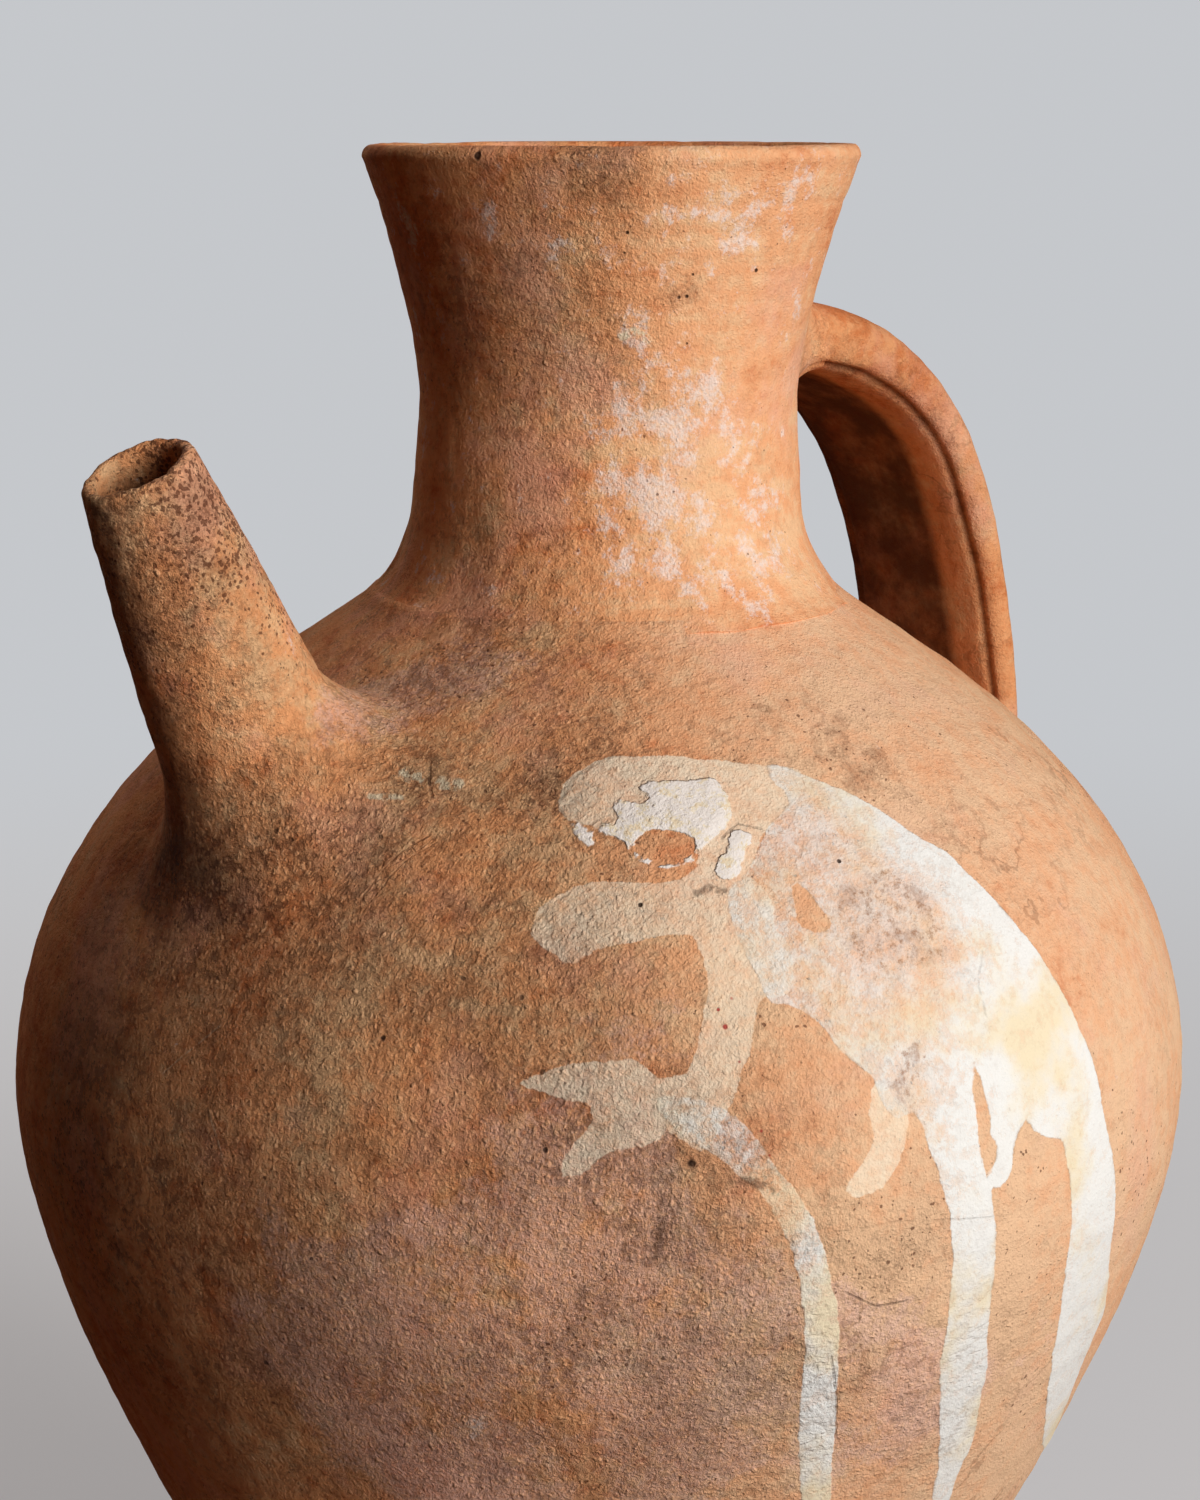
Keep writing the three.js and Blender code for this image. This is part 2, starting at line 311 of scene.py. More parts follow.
def unrolled(pixels):
    """Turn and distance up the wall of each traced pixel."""
    places = np.array([on_clay(*pixel) for pixel in pixels])
    return np.column_stack([np.arctan2(places[:, 1], places[:, 0]),
                            whole_wall.up_the_wall(places[:, 2])])


def rounded(corners, between=4):
    """A closed smooth line through traced corners."""
    p0, p1 = np.roll(corners, 1, axis=0), corners
    p2, p3 = np.roll(corners, -1, axis=0), np.roll(corners, -2, axis=0)
    parts = []
    for t in np.arange(between) / between:
        parts.append(0.5 * (2 * p1 + (p2 - p0) * t + (2 * p0 - 5 * p1 + 4 * p2 - p3) * t**2
                            + (3 * p1 - p0 - 3 * p2 + p3) * t**3))
    return np.stack(parts, axis=1).reshape(-1, 2)


def reach_inside(points, outline):
    """Millimetres from the edge of an outline on the wall, positive inside it."""
    turn = np.arctan2(points[:, 1], points[:, 0])
    radius = np.hypot(points[:, 0], points[:, 1])
    height = whole_wall.up_the_wall(points[:, 2])
    nearest = np.full(len(points), 1e9)
    inside = np.zeros(len(points), bool)
    for a, b in zip(outline, np.roll(outline, -1, axis=0)):
        ax = (a[0] - turn) * radius
        bx = (b[0] - turn) * radius
        ay, by = a[1] - height, b[1] - height
        run_x, run_y = bx - ax, by - ay
        share = np.clip(-(ax * run_x + ay * run_y) / (run_x**2 + run_y**2 + 1e-9), 0, 1)
        nearest = np.minimum(nearest, (ax + share * run_x) ** 2 + (ay + share * run_y) ** 2)
        crosses = (ay > 0) != (by > 0)
        inside ^= crosses & (ax - ay * run_x / (run_y + 1e-12) > 0)
    return np.where(inside, 1, -1) * np.sqrt(nearest)


# %% [markdown]
# ## The spilled slip
#
# Someone once spilled white slip, a thin clay, over the shoulder. It ran in a broad band, dripped
# down the belly, and left a thin wash where it only wetted the clay. Each patch is traced as a
# closed line of pixels. The bare windows inside the pour are traced too and cut out of it.
# Where the runs leave the picture they are carried on down the wall and end in a drop.

# %% Traced patches of slip
WASH_HEAD = [(560, 802), (567, 781), (592, 763), (620, 756), (670, 755), (720, 759), (765, 765),
             (800, 771), (795, 800), (765, 830), (748, 870), (715, 880), (700, 866), (697, 852),
             (680, 863), (662, 867), (642, 859), (627, 848), (621, 838), (606, 834), (595, 826),
             (580, 824), (566, 817)]
WASH_ARM = [(536, 912), (560, 894), (590, 881), (630, 882), (660, 880), (682, 876), (702, 862),
            (740, 870), (770, 900), (765, 950), (706, 952), (694, 937), (671, 934), (632, 942),
            (592, 952), (574, 964), (552, 952), (532, 936)]
WASH_FALL = [(704, 932), (706, 970), (706, 992), (704, 1012), (697, 1045), (687, 1072),
             (676, 1095), (680, 1130), (702, 1150), (728, 1112), (735, 1092), (741, 1077),
             (749, 1052), (755, 1020), (760, 998), (790, 990), (785, 940), (745, 915)]
WASH_POOL = [(520, 1084), (545, 1072), (582, 1062), (615, 1059), (637, 1061), (660, 1077),
             (690, 1076), (720, 1098), (704, 1150), (672, 1131), (660, 1137), (640, 1147),
             (610, 1153), (585, 1172), (562, 1177), (568, 1150), (590, 1128), (588, 1104),
             (560, 1098)]
WASH_DRIP = [(877, 1082), (870, 1110), (873, 1140), (862, 1165), (850, 1180), (847, 1192),
             (862, 1197), (885, 1186), (900, 1165), (907, 1135), (910, 1112), (895, 1098)]
CRUST = [(615, 806), (622, 799), (637, 802), (650, 796), (641, 789), (637, 783), (660, 779),
         (690, 781), (710, 778), (720, 788), (728, 797), (731, 815), (724, 826), (716, 834),
         (700, 848), (694, 858), (680, 865), (662, 869), (641, 860), (627, 848), (622, 838),
         (606, 833), (594, 826), (604, 821), (614, 824), (618, 816)]
CRUST_WINDOW = [(632, 846), (636, 838), (646, 831), (660, 829), (676, 830), (687, 834), (694, 842),
                (692, 853), (680, 860), (663, 864), (645, 857), (635, 852)]
CRUST_FLICK = [(569, 824), (578, 821), (588, 829), (594, 838), (590, 845), (581, 840), (572, 832)]
CRUST_BLOB = [(728, 833), (738, 829), (750, 833), (753, 840), (746, 850), (742, 862), (737, 875),
              (730, 880), (720, 879), (714, 870), (717, 858), (726, 848)]
POUR = [(765, 765), (785, 767), (817, 780), (845, 791), (870, 805), (895, 820), (920, 838),
        (945, 852), (960, 865), (975, 880), (1000, 905), (1017, 925), (1037, 950), (1055, 977),
        (1072, 1010), (1085, 1040), (1095, 1067), (1102, 1097), (1106, 1117), (1111, 1142),
        (1115, 1170), (1115, 1209), (1111, 1248), (1108, 1284), (1102, 1317), (1091, 1341),
        (1081, 1368), (1064, 1410), (1052, 1440), (1043, 1452), (1043, 1438), (1046, 1401),
        (1051, 1368), (1055, 1341), (1060, 1314), (1064, 1284), (1069, 1248), (1072, 1215),
        (1070, 1185), (1067, 1160), (1062, 1139), (1050, 1138), (1037, 1133), (1031, 1124),
        (1026, 1122), (1020, 1132), (1015, 1152), (1012, 1170), (1005, 1185), (995, 1188),
        (992, 1180), (997, 1160), (997, 1143), (992, 1135), (992, 1117), (987, 1097), (980, 1075),
        (972, 1055), (967, 1044), (972, 1067), (975, 1092), (977, 1117), (980, 1142), (985, 1165),
        (991, 1191), (997, 1224), (995, 1266), (991, 1299), (988, 1335), (985, 1374), (979, 1404),
        (973, 1440), (960, 1467), (950, 1500), (946, 1540), (944, 1575), (936, 1590), (929, 1575),
        (929, 1540), (931, 1500), (937, 1470), (940, 1434), (940, 1395), (940, 1359), (946, 1329),
        (950, 1290), (953, 1248), (949, 1209), (942, 1185), (937, 1167), (930, 1147), (922, 1125),
        (912, 1112), (906, 1117), (895, 1117), (882, 1102), (877, 1085), (867, 1072), (852, 1060),
        (835, 1045), (818, 1022), (792, 1005), (770, 1001), (757, 975), (735, 930), (728, 890),
        (748, 868), (765, 830), (788, 800), (770, 780)]
POUR_WINDOW = [(791, 882), (803, 886), (815, 901), (830, 922), (826, 931), (810, 931), (796, 922),
               (794, 905)]
LEFT_RUN = [(655, 1100), (690, 1098), (727, 1110), (745, 1125), (762, 1145), (775, 1168),
            (790, 1183), (799, 1197), (814, 1218), (823, 1248), (832, 1278), (838, 1308),
            (839, 1341), (838, 1380), (836, 1425), (832, 1455), (830, 1500), (828, 1560),
            (825, 1620), (818, 1668), (809, 1680), (801, 1660), (800, 1600), (801, 1550),
            (802, 1500), (799, 1470), (799, 1425), (802, 1380), (805, 1350), (804, 1320),
            (802, 1290), (796, 1266), (787, 1239), (775, 1215), (760, 1191), (739, 1176),
            (722, 1158), (700, 1146), (676, 1131)]

wash_lines = [rounded(unrolled(p)) for p in (WASH_HEAD, WASH_ARM, WASH_FALL, WASH_POOL, WASH_DRIP)]
slip_lines = [rounded(unrolled(p)) for p in (POUR, LEFT_RUN)]
crust_lines = [rounded(unrolled(p)) for p in (CRUST, CRUST_FLICK, CRUST_BLOB)]
window_lines = [rounded(unrolled(p)) for p in (CRUST_WINDOW, POUR_WINDOW)]
print("traced", len(POUR), "corners round the pour")


def patch_reach(points, lines, windows=()):
    """Reach inside the union of several patches, less their windows."""
    reach = np.max([reach_inside(points, line) for line in lines], axis=0)
    for window in windows:
        reach = np.minimum(reach, -reach_inside(points, window))
    return reach


# %% [markdown]
# ## Stains, painted shade and painted light that have a place
#
# Grime gathers under the spout, a mauve bloom dusts the lower left, and pale lime sits on the neck.
# The grime marks also paint shade under the spout and at the lower left, and the hollow beside the
# spout's foot is painted dark as shade. Where the slip lies thin the clay grins through, and in
# places it is stained or wrinkled. Each of these is a soft round mark: a pixel where its middle
# shows, how far it spreads in millimetres, and how strong it is. Noise tears its edge later on. The
# clay is also rough in some places and smooth in others, and the side of the jug towards the lamp
# is painted paler, as painted light.

# %% Soft marks
# Grime, and painted shade under the spout and on the lower left
GRIME_AND_SHADE = [(195, 868, 14, 1.0), (240, 900, 20, 0.8), (340, 850, 20, 0.4), (440, 670, 26, 0.3),
         (500, 620, 18, 0.25), (420, 775, 10, 0.5), (575, 782, 9, 0.9), (548, 800, 10, 0.6),
         (650, 1225, 12, 0.7), (560, 1335, 12, 0.6), (590, 1120, 10, 0.4), (560, 1160, 8, 0.4),
         (120, 1220, 44, 0.6), (300, 980, 30, 0.25), (480, 900, 20, 0.2), (750, 1182, 6, 0.9),
         (630, 745, 12, 0.4), (760, 745, 14, 0.3), (880, 780, 16, 0.4), (960, 840, 14, 0.4),
         (1090, 960, 20, 0.3), (930, 1410, 12, 0.4), (905, 1270, 12, 0.5), (1000, 890, 12, 0.3),
         (860, 740, 20, 0.4), (640, 690, 22, 0.15), (370, 600, 20, 0.4), (865, 1140, 8, 0.4),
         (690, 285, 5, 0.9), (585, 160, 8, 0.8), (830, 770, 14, 0.4), (560, 545, 7, 0.8),
         (660, 300, 6, 0.7), (470, 160, 6, 0.6), (540, 420, 16, 0.3), (750, 1380, 14, 0.3)]
MAUVE = [(560, 1240, 30, 0.5), (600, 1400, 34, 0.6), (430, 1400, 46, 1.0), (330, 1290, 34, 0.5),
         (560, 1440, 40, 0.8), (630, 1130, 22, 0.5), (900, 1330, 26, 0.7), (880, 1440, 30, 0.8),
         (1010, 1380, 22, 0.5), (660, 980, 24, 0.3), (430, 690, 22, 0.7), (520, 660, 22, 0.5),
         (740, 1330, 30, 0.5), (700, 720, 26, 0.3), (900, 690, 20, 0.3), (560, 1080, 24, 0.4),
         (340, 700, 16, 0.5), (300, 760, 16, 0.4)]
BLOOM = [(408, 228, 5, 1.0), (400, 300, 6, 0.5), (486, 210, 4, 0.9), (640, 335, 5, 0.8),
         (690, 215, 6, 0.7), (745, 225, 7, 0.8), (800, 175, 6, 0.9), (700, 400, 7, 1.0),
         (680, 440, 7, 0.9), (740, 430, 7, 0.7), (760, 500, 8, 0.9), (770, 560, 8, 0.8),
         (690, 520, 9, 0.6), (820, 420, 7, 0.5), (800, 300, 7, 0.6), (830, 250, 6, 0.5),
         (650, 560, 10, 0.4), (690, 590, 10, 0.5), (470, 1415, 4, 1.0), (476, 1432, 4, 0.9),
         (1060, 900, 14, 0.3), (840, 660, 12, 0.4), (870, 740, 12, 0.4), (1120, 1100, 14, 0.3),
         (620, 470, 9, 0.7), (640, 400, 8, 0.7), (600, 540, 9, 0.5), (720, 350, 8, 0.5),
         (560, 250, 6, 0.4), (740, 590, 9, 0.5), (650, 500, 8, 0.6), (620, 260, 6, 0.4)]
SHEER = [(560, 905, 26, 0.9), (610, 915, 18, 0.6), (530, 925, 12, 0.9), (795, 905, 14, 0.9),
         (850, 890, 14, 0.8), (905, 925, 13, 0.9), (860, 960, 13, 0.6), (875, 1010, 12, 0.5),
         (770, 810, 12, 0.7), (585, 1090, 12, 0.6), (620, 1135, 12, 0.6), (878, 1140, 14, 0.9),
         (720, 980, 14, 0.4), (720, 1050, 10, 0.6), (925, 1080, 10, 0.5), (700, 1140, 8, 0.6),
         (770, 1190, 8, 0.9), (795, 1250, 8, 0.6), (580, 790, 12, 0.5), (820, 850, 13, 0.7),
         (940, 1000, 10, 0.4), (700, 1075, 14, 0.5), (740, 1110, 10, 0.6), (755, 880, 11, 0.8),
         (748, 930, 11, 0.9), (762, 985, 11, 0.8), (800, 1000, 9, 0.5), (775, 785, 9, 0.7),
         (700, 1118, 12, 0.8), (742, 1148, 8, 0.8), (776, 1192, 7, 0.9), (830, 960, 10, 0.8),
         (800, 850, 10, 0.6), (950, 950, 9, 0.5)]
STAINED = [(905, 900, 12, 1.0), (880, 950, 11, 0.9), (935, 940, 9, 0.8), (860, 905, 10, 0.7),
           (818, 1282, 7, 0.9), (812, 1330, 6, 0.5), (900, 1060, 9, 0.6), (925, 1050, 7, 0.6),
           (590, 785, 12, 0.6), (640, 775, 9, 0.4), (905, 1100, 6, 0.9), (980, 975, 5, 0.5),
           (955, 1440, 7, 0.6), (820, 1470, 7, 0.6), (760, 900, 12, 0.3), (850, 1010, 8, 0.5)]
ROUGH = [(195, 868, 34, 1.0), (300, 900, 44, 1.0), (400, 880, 34, 0.8), (340, 1000, 50, 0.8),
         (200, 1050, 44, 0.7), (250, 1200, 50, 0.7), (430, 1130, 40, 0.4), (400, 1350, 50, 0.7),
         (560, 1330, 40, 0.5), (560, 1450, 44, 0.5), (660, 1180, 24, 0.3), (700, 1330, 30, 0.2),
         (420, 770, 20, 0.7), (460, 650, 26, 0.4), (560, 760, 24, 0.2),
         (870, 1300, 26, 0.2), (900, 1440, 30, 0.2), (600, 170, 10, 0.9),
         (570, 240, 16, 0.6), (450, 300, 20, 0.4), (560, 340, 22, 0.5), (480, 560, 20, 0.6)]
# Painted shade in the hollow beside the spout's foot
FOOT_HOLLOW_SHADE = [(205, 872, 7, 0.7), (238, 903, 7, 0.5), (175, 850, 6, 0.5)]
WRINKLED = [(824, 1380, 11, 1.0), (820, 1440, 12, 1.0), (815, 1330, 9, 0.7), (968, 1350, 10, 0.8),
            (975, 1290, 8, 0.5), (955, 1430, 12, 0.9), (700, 815, 12, 0.7), (670, 800, 12, 0.7),
            (1085, 1330, 9, 0.4), (735, 850, 8, 0.8)]


def soft_marks(points, marks):
    total = np.zeros(len(points))
    for across, down, spread, strength in marks:
        middle = on_clay(across, down)
        total += strength * np.exp(-((points - middle) ** 2).sum(1) / spread**2)
    return np.clip(total, 0, 1)


# Painted light: the side of the jug towards the key lamp is painted paler.
LIT_SIDE_TURN = math.radians(50)  # to the right of the camera
# How squarely the wall must face that side, as a cosine, for the first and the full painted paling
LIT_PALING_STARTS, LIT_PALING_FULL = 0.45, 1.05
lit_side_way = (toward * math.cos(LIT_SIDE_TURN) + camera_right * math.sin(LIT_SIDE_TURN))[:2]


def lit_side_paling(points):
    """Painted light: how much paler the clay is made on the side towards the lamp."""
    return soft_step(LIT_PALING_STARTS, LIT_PALING_FULL, unit(points[:, :2]) @ lit_side_way)


# %% [markdown]
# ## Thin marks
#
# Scratches, cracks and splashes are thinner than the mesh is fine. What a point can carry is how
# far to the left or right of the line it lies, because that changes evenly from point to point.
# The shader finds the line where the value passes through nought. A second value says how near the
# line is at all. A positive tint is dark, a negative one is pale, and a dent is in millimetres.

# %% Lines across the clay
class Line:
    def __init__(self, pixels, width, tint=0.0, dent=0.0):
        self.pixels, self.width, self.tint, self.dent = pixels, width, tint, dent


BODY_LINES = [
    Line([(423, 839), (404, 850), (385, 868), (366, 893)], 0.35, 0.2, 0.4),
    Line([(430, 846), (409, 858), (391, 876), (373, 898)], 0.3, 0.1, 0.3),
    Line([(215, 1030), (190, 1050), (166, 1070)], 0.35, -0.3, 0.2),
    Line([(248, 1187), (236, 1209), (224, 1231)], 0.35, 0.1, 0.25),
    Line([(210, 1117), (217, 1139), (222, 1161)], 0.4, -0.3, -0.15),
    Line([(405, 773), (413, 776), (424, 779)], 2.2, -1.0, -0.2),
    Line([(437, 781), (447, 784), (457, 784)], 2.6, -1.0, -0.2),
    Line([(374, 796), (386, 797), (397, 797)], 1.2, -0.9, -0.1),
    Line([(431, 766), (430, 778), (432, 792)], 0.6, 0.9, 0.6),
    Line([(659, 1199), (663, 1225), (656, 1258), (640, 1264), (627, 1250)], 1.5, 0.45, 0.1),
    Line([(520, 1332), (538, 1348), (558, 1346), (573, 1330)], 1.6, 0.3, 0.0),
    Line([(736, 1180), (752, 1182), (768, 1189)], 1.3, 0.6, 0.1),
    Line([(852, 1296), (876, 1307), (900, 1302)], 0.4, 0.5, 0.2),
    Line([(832, 1362), (836, 1395), (836, 1430)], 0.5, 0.5, 0.2),
    Line([(981, 958), (978, 985), (986, 1012)], 0.5, 0.25, 0.05),
    Line([(700, 890), (709, 886), (718, 889)], 1.2, 0.7, 0.1),
    Line([(560, 800), (575, 776), (605, 757), (650, 750)], 0.7, 0.4, 0.05),
    Line([(834, 1233), (900, 1222), (1006, 1216)], 0.4, 0.1, 0.1),
    Line([(725, 833), (735, 822), (752, 826)], 0.5, 0.6, 0.1),
]
NECK_LINES = [
    Line([(626, 334), (635, 331), (644, 337)], 1.5, -0.9, -0.1),
]
FAR_FROM_LINE = 30.0


def line_values(points, lines):
    """For each point the nearest line's sideways share, nearness, tint and dent."""
    turn = np.arctan2(points[:, 1], points[:, 0])
    radius = np.hypot(points[:, 0], points[:, 1])
    height = whole_wall.up_the_wall(points[:, 2])
    best = np.full(len(points), FAR_FROM_LINE)
    aside, tint, dent = (np.full(len(points), FAR_FROM_LINE), np.zeros(len(points)),
                         np.zeros(len(points)))
    for line in lines:
        traced = unrolled(line.pixels)
        for k, (a, b) in enumerate(zip(traced, traced[1:])):
            x, y = wrapped(turn - a[0]) * radius, height - a[1]
            run_x, run_y = wrapped(b[0] - a[0]) * radius, b[1] - a[1]
            length = np.hypot(run_x, run_y) + 1e-9
            share = (x * run_x + y * run_y) / length**2
            across = (run_x * y - run_y * x) / length
            past = np.maximum(np.maximum(-share, share - 1), 0) * length
            distance = np.hypot(across, past)
            closer = distance < best
            best = np.where(closer, distance, best)
            aside = np.where(closer, across / line.width, aside)
            tint = np.where(closer, line.tint, tint)
            dent = np.where(closer, line.dent, dent)
    return {"aside": aside, "apart": best, "tint": tint, "dent": dent}


print("thin marks:", len(BODY_LINES), "on the body,", len(NECK_LINES), "on the neck")

# %% [markdown]
# ## From rows of points to a closed mesh
#
# Every piece is made the same way: rows of points that run round it, joined row to row into quads.
# A ring of clay joins its last row to its first, and a solid one is closed at each end by a fan.

# %% Mesh maker
def closed_mesh(name, rows, ring, tips=None):
    """A closed mesh from rows of points in millimetres, each row running round the piece."""
    count, around, _ = rows.shape
    points = rows.reshape(-1, 3)
    near = np.arange(count if ring else count - 1)[:, None] * around
    far = (near + around) % (count * around)
    here = np.arange(around)[None]
    after = (here + 1) % around
    quads = np.stack([near + here, near + after, far + after, far + here], axis=2).reshape(-1, 4)
    fans = []
    if not ring:
        tips = tips if tips is not None else [rows[0].mean(0), rows[-1].mean(0)]
        points = np.vstack([points, tips])
        last = (count - 1) * around
        for i in range(around):
            j = (i + 1) % around
            fans.append((count * around, j, i))
            fans.append((count * around + 1, last + i, last + j))
    corners = points[quads]
    volume = np.einsum("ij,ij->i", corners[:, 0], np.cross(corners[:, 1], corners[:, 2])).sum()
    volume += np.einsum("ij,ij->i", corners[:, 0], np.cross(corners[:, 2], corners[:, 3])).sum()
    faces = quads.tolist() + fans
    if volume < 0:
        faces = [face[::-1] for face in faces]
    mesh = bpy.data.meshes.new(name)
    mesh.from_pydata((lean(points) * MM).tolist(), [], faces)
    mesh.validate()
    mesh.polygons.foreach_set("use_smooth", np.ones(len(mesh.polygons), bool))
    mesh.set_sharp_from_angle(angle=math.radians(55))
    return mesh, points


UNMARKED = {"grime_and_shade": 0.0, "mauve": 0.0, "bloom": 0.0, "sheer": 0.0, "stained": 0.0, "wrinkled": 0.0,
            "wash": -100.0, "slip": -100.0, "crust": -100.0, "aside": FAR_FROM_LINE,
            "apart": FAR_FROM_LINE, "tint": 0.0, "dent": 0.0, "soot_and_shade": 0.0, "rough": 0.3}
OUTER_SKIN = 3.5  # a point this far under the ideal wall is on the inside
# The second value smooths the clay on the side painted paler towards the lamp.
ROUGH_AT_LEAST, SMOOTHER_LIT_SIDE = 0.24, 0.14


def wall_marks(points, lines=(), slipped=False):
    """The marks of points on the jug's own wall. The inside of the wall stays unmarked."""
    rough = ROUGH_AT_LEAST - SMOOTHER_LIT_SIDE * lit_side_paling(points) + soft_marks(points, ROUGH)
    values = {"grime_and_shade": soft_marks(points, GRIME_AND_SHADE), "mauve": soft_marks(points, MAUVE),
              "bloom": soft_marks(points, BLOOM), "soot_and_shade": soft_marks(points, FOOT_HOLLOW_SHADE),
              "rough": np.clip(rough, 0, 1)}
    if lines:
        values.update(line_values(points, lines))
    if slipped:
        values["wash"] = patch_reach(points, wash_lines, window_lines)
        values["slip"] = patch_reach(points, slip_lines, window_lines[1:])
        values["crust"] = patch_reach(points, crust_lines, window_lines[:1])
        values["sheer"] = soft_marks(points, SHEER)
        values["stained"] = soft_marks(points, STAINED)
        values["wrinkled"] = soft_marks(points, WRINKLED)
    hidden = np.hypot(points[:, 0], points[:, 1]) < whole_wall.radius(points[:, 2]) - OUTER_SKIN
    for name, value in values.items():
        value[hidden] = UNMARKED[name]
    return values


def mark_clay(mesh, values):
    """Writes marks on the points of a mesh, for the shaders to read."""
    spots = np.empty(len(mesh.vertices) * 3, np.float32)
    mesh.vertices.foreach_get("co", spots)
    # The pale mark is painted light: the clay is painted paler on the side towards the lamp.
    values = {"pale": lit_side_paling(spots.reshape(-1, 3) + 1e-9), **values}
    for name, plain in {"pale": 0.0, **UNMARKED}.items():
        value = np.full(len(mesh.vertices), plain, np.float32)
        if name in values:
            value[:len(values[name])] = values[name]
        layer = mesh.attributes.new(name, "FLOAT", "POINT")
        layer.data.foreach_set("value", value)


def add_piece(name, mesh, nodes, material):
    """Sets a piece of clay in place of its CAD nodes."""
    piece = bpy.data.objects.new(name, mesh)
    bpy.context.scene.collection.objects.link(piece)
    mesh.materials.append(material)
    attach(piece, "root")
    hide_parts(*nodes)
    triangles = sum(len(face.vertices) - 2 for face in mesh.polygons)
    print(f"{name}: {triangles} triangles")
    return piece


def turned_rows(section, around):
    """Rows round the jug's axis for each point of a section, and the outward directions."""
    section = np.array(section, float)
    run = np.roll(section, -1, axis=0) - np.roll(section, 1, axis=0)
    run /= np.maximum(np.linalg.norm(run, axis=1)[:, None], 1e-9)
    out = np.stack([run[:, 1], -run[:, 0]], axis=1)
    turn = np.linspace(0, 2 * math.pi, around, endpoint=False)
    c, s = np.cos(turn), np.sin(turn)
    rows = np.stack([section[:, :1] * c, section[:, :1] * s,
                     np.repeat(section[:, 1:], around, axis=1)], axis=2)
    outs = np.stack([out[:, :1] * c, out[:, :1] * s, np.repeat(out[:, 1:], around, axis=1)], axis=2)
    return rows, outs


# %% [markdown]
# ## Paint: names for the colours
#
# The colours were matched. They are written as a screen shows them, from 0 to 255, and
# turned into the linear light that Blender mixes in.

# %% Colours
def paint(red, green, blue):
    """A screen colour as linear light."""
    parts = []
    for part in (red, green, blue):
        part = part / 255
        parts.append(part / 12.92 if part <= 0.04045 else ((part + 0.055) / 1.055) ** 2.4)
    return (*parts, 1.0)


FIRED_ORANGE = paint(246, 172, 116)
DEEP_ORANGE = paint(224, 134, 78)
PALE_GOLD = paint(248, 196, 144)
ROSY_CLAY = paint(246, 180, 150)
# Painted light: the paler clay colour on the side towards the lamp
LIT_SIDE_CLAY = paint(238, 200, 166)
PORE_AND_SHADE_BROWN = paint(92, 48, 28)
# Pores, and painted shade in the grit's hollows
PIT_BLACK = paint(48, 28, 20)
SAND_CREAM = paint(250, 194, 146)
LIME_PINK = paint(244, 224, 212)
# Grime and water lines, and painted shade under the spout, at the lower left and at the handle's root
GRIME_AND_SHADE_BROWN = paint(120, 66, 38)
# Soot, and painted shade in the spout's bore, beside its foot and on the handle's inner face
SOOT_AND_SHADE_BROWN = paint(66, 36, 20)
MAUVE_DUST = paint(242, 200, 184)
SPLASH_RED = paint(178, 48, 44)
WASH_CREAM = paint(248, 230, 202)
SLIP_CREAM = paint(240, 225, 191)
SLIP_WHITE = paint(240, 240, 235)
CRUST_WHITE = paint(246, 238, 230)
STAIN_BROWN = paint(150, 112, 74)
CRUMB_BROWN = paint(156, 98, 52)

# %% [markdown]
# ## A bench for shader nodes
#
# A shader is a small factory. The bench below lays out one node per call and joins it to what feeds
# it, so that a finish reads like a recipe.

# %% Node bench
class Bench:
    def __init__(self, tree):
        self.tree = tree

    def put(self, kind, feeds=(), **settings):
        node = self.tree.nodes.new(kind)
        for name, value in settings.items():
            setattr(node, name, value)
        for name, value in dict(feeds).items():
            socket = node.inputs[name]
            if isinstance(value, bpy.types.NodeSocket):
                self.tree.links.new(value, socket)
            else:
                socket.default_value = value
        return node

    def sum(self, kind, *values, clamp=False):
        feeds = dict(enumerate(values))
        return self.put("ShaderNodeMath", feeds, operation=kind, use_clamp=clamp).outputs[0]

    def times(self, *values):
        total = values[0]
        for value in values[1:]:
            total = self.sum("MULTIPLY", total, value)
        return total

    def total(self, *values):
        total = values[0]
        for value in values[1:]:
            total = self.sum("ADD", total, value)
        return total

    def swing(self, value, gain):
        """A noise turned into a swing about nought."""
        return self.times(self.sum("SUBTRACT", value, 0.5), gain)

    def noise(self, place, scale, detail=2.0, roughness=0.5):
        feeds = {"Vector": place, "Scale": scale, "Detail": detail, "Roughness": roughness}
        return self.put("ShaderNodeTexNoise", feeds).outputs[0]

    def step(self, value, low, high, bottom=0.0, top=1.0):
        feeds = {"Value": value, "From Min": low, "From Max": high, "To Min": bottom, "To Max": top}
        return self.put("ShaderNodeMapRange", feeds, interpolation_type="SMOOTHSTEP").outputs[0]

    def mix(self, share, first, second):
        node = self.put("ShaderNodeMix", {0: share, 6: first, 7: second}, data_type="RGBA")
        return node.outputs[2]

    def stretch(self, place, across, up):
        scale = self.put("ShaderNodeCombineXYZ", {"X": across, "Y": across, "Z": up}).outputs[0]
        feeds = {0: place, 1: scale}
        return self.put("ShaderNodeVectorMath", feeds, operation="MULTIPLY").outputs[0]

    def shaken(self, place, scale, by):
        """Places pushed about by noise, so that what is drawn there loses its round shape."""
        feeds = {"Vector": place, "Scale": scale, "Detail": 1.0}
        push = self.put("ShaderNodeTexNoise", feeds).outputs["Color"]
        push = self.put("ShaderNodeVectorMath", {0: push, 1: (0.5, 0.5, 0.5)}, operation="SUBTRACT")
        feeds = {0: push.outputs[0], 1: (by, by, by), 2: place}
        return self.put("ShaderNodeVectorMath", feeds, operation="MULTIPLY_ADD").outputs[0]

    def moved(self, place, by):
        feeds = {0: place, 1: (by, by * 0.7, by * 1.3)}
        return self.put("ShaderNodeVectorMath", feeds, operation="ADD").outputs[0]


SOCKETS = {"number": "NodeSocketFloat", "colour": "NodeSocketColor", "place": "NodeSocketVector"}


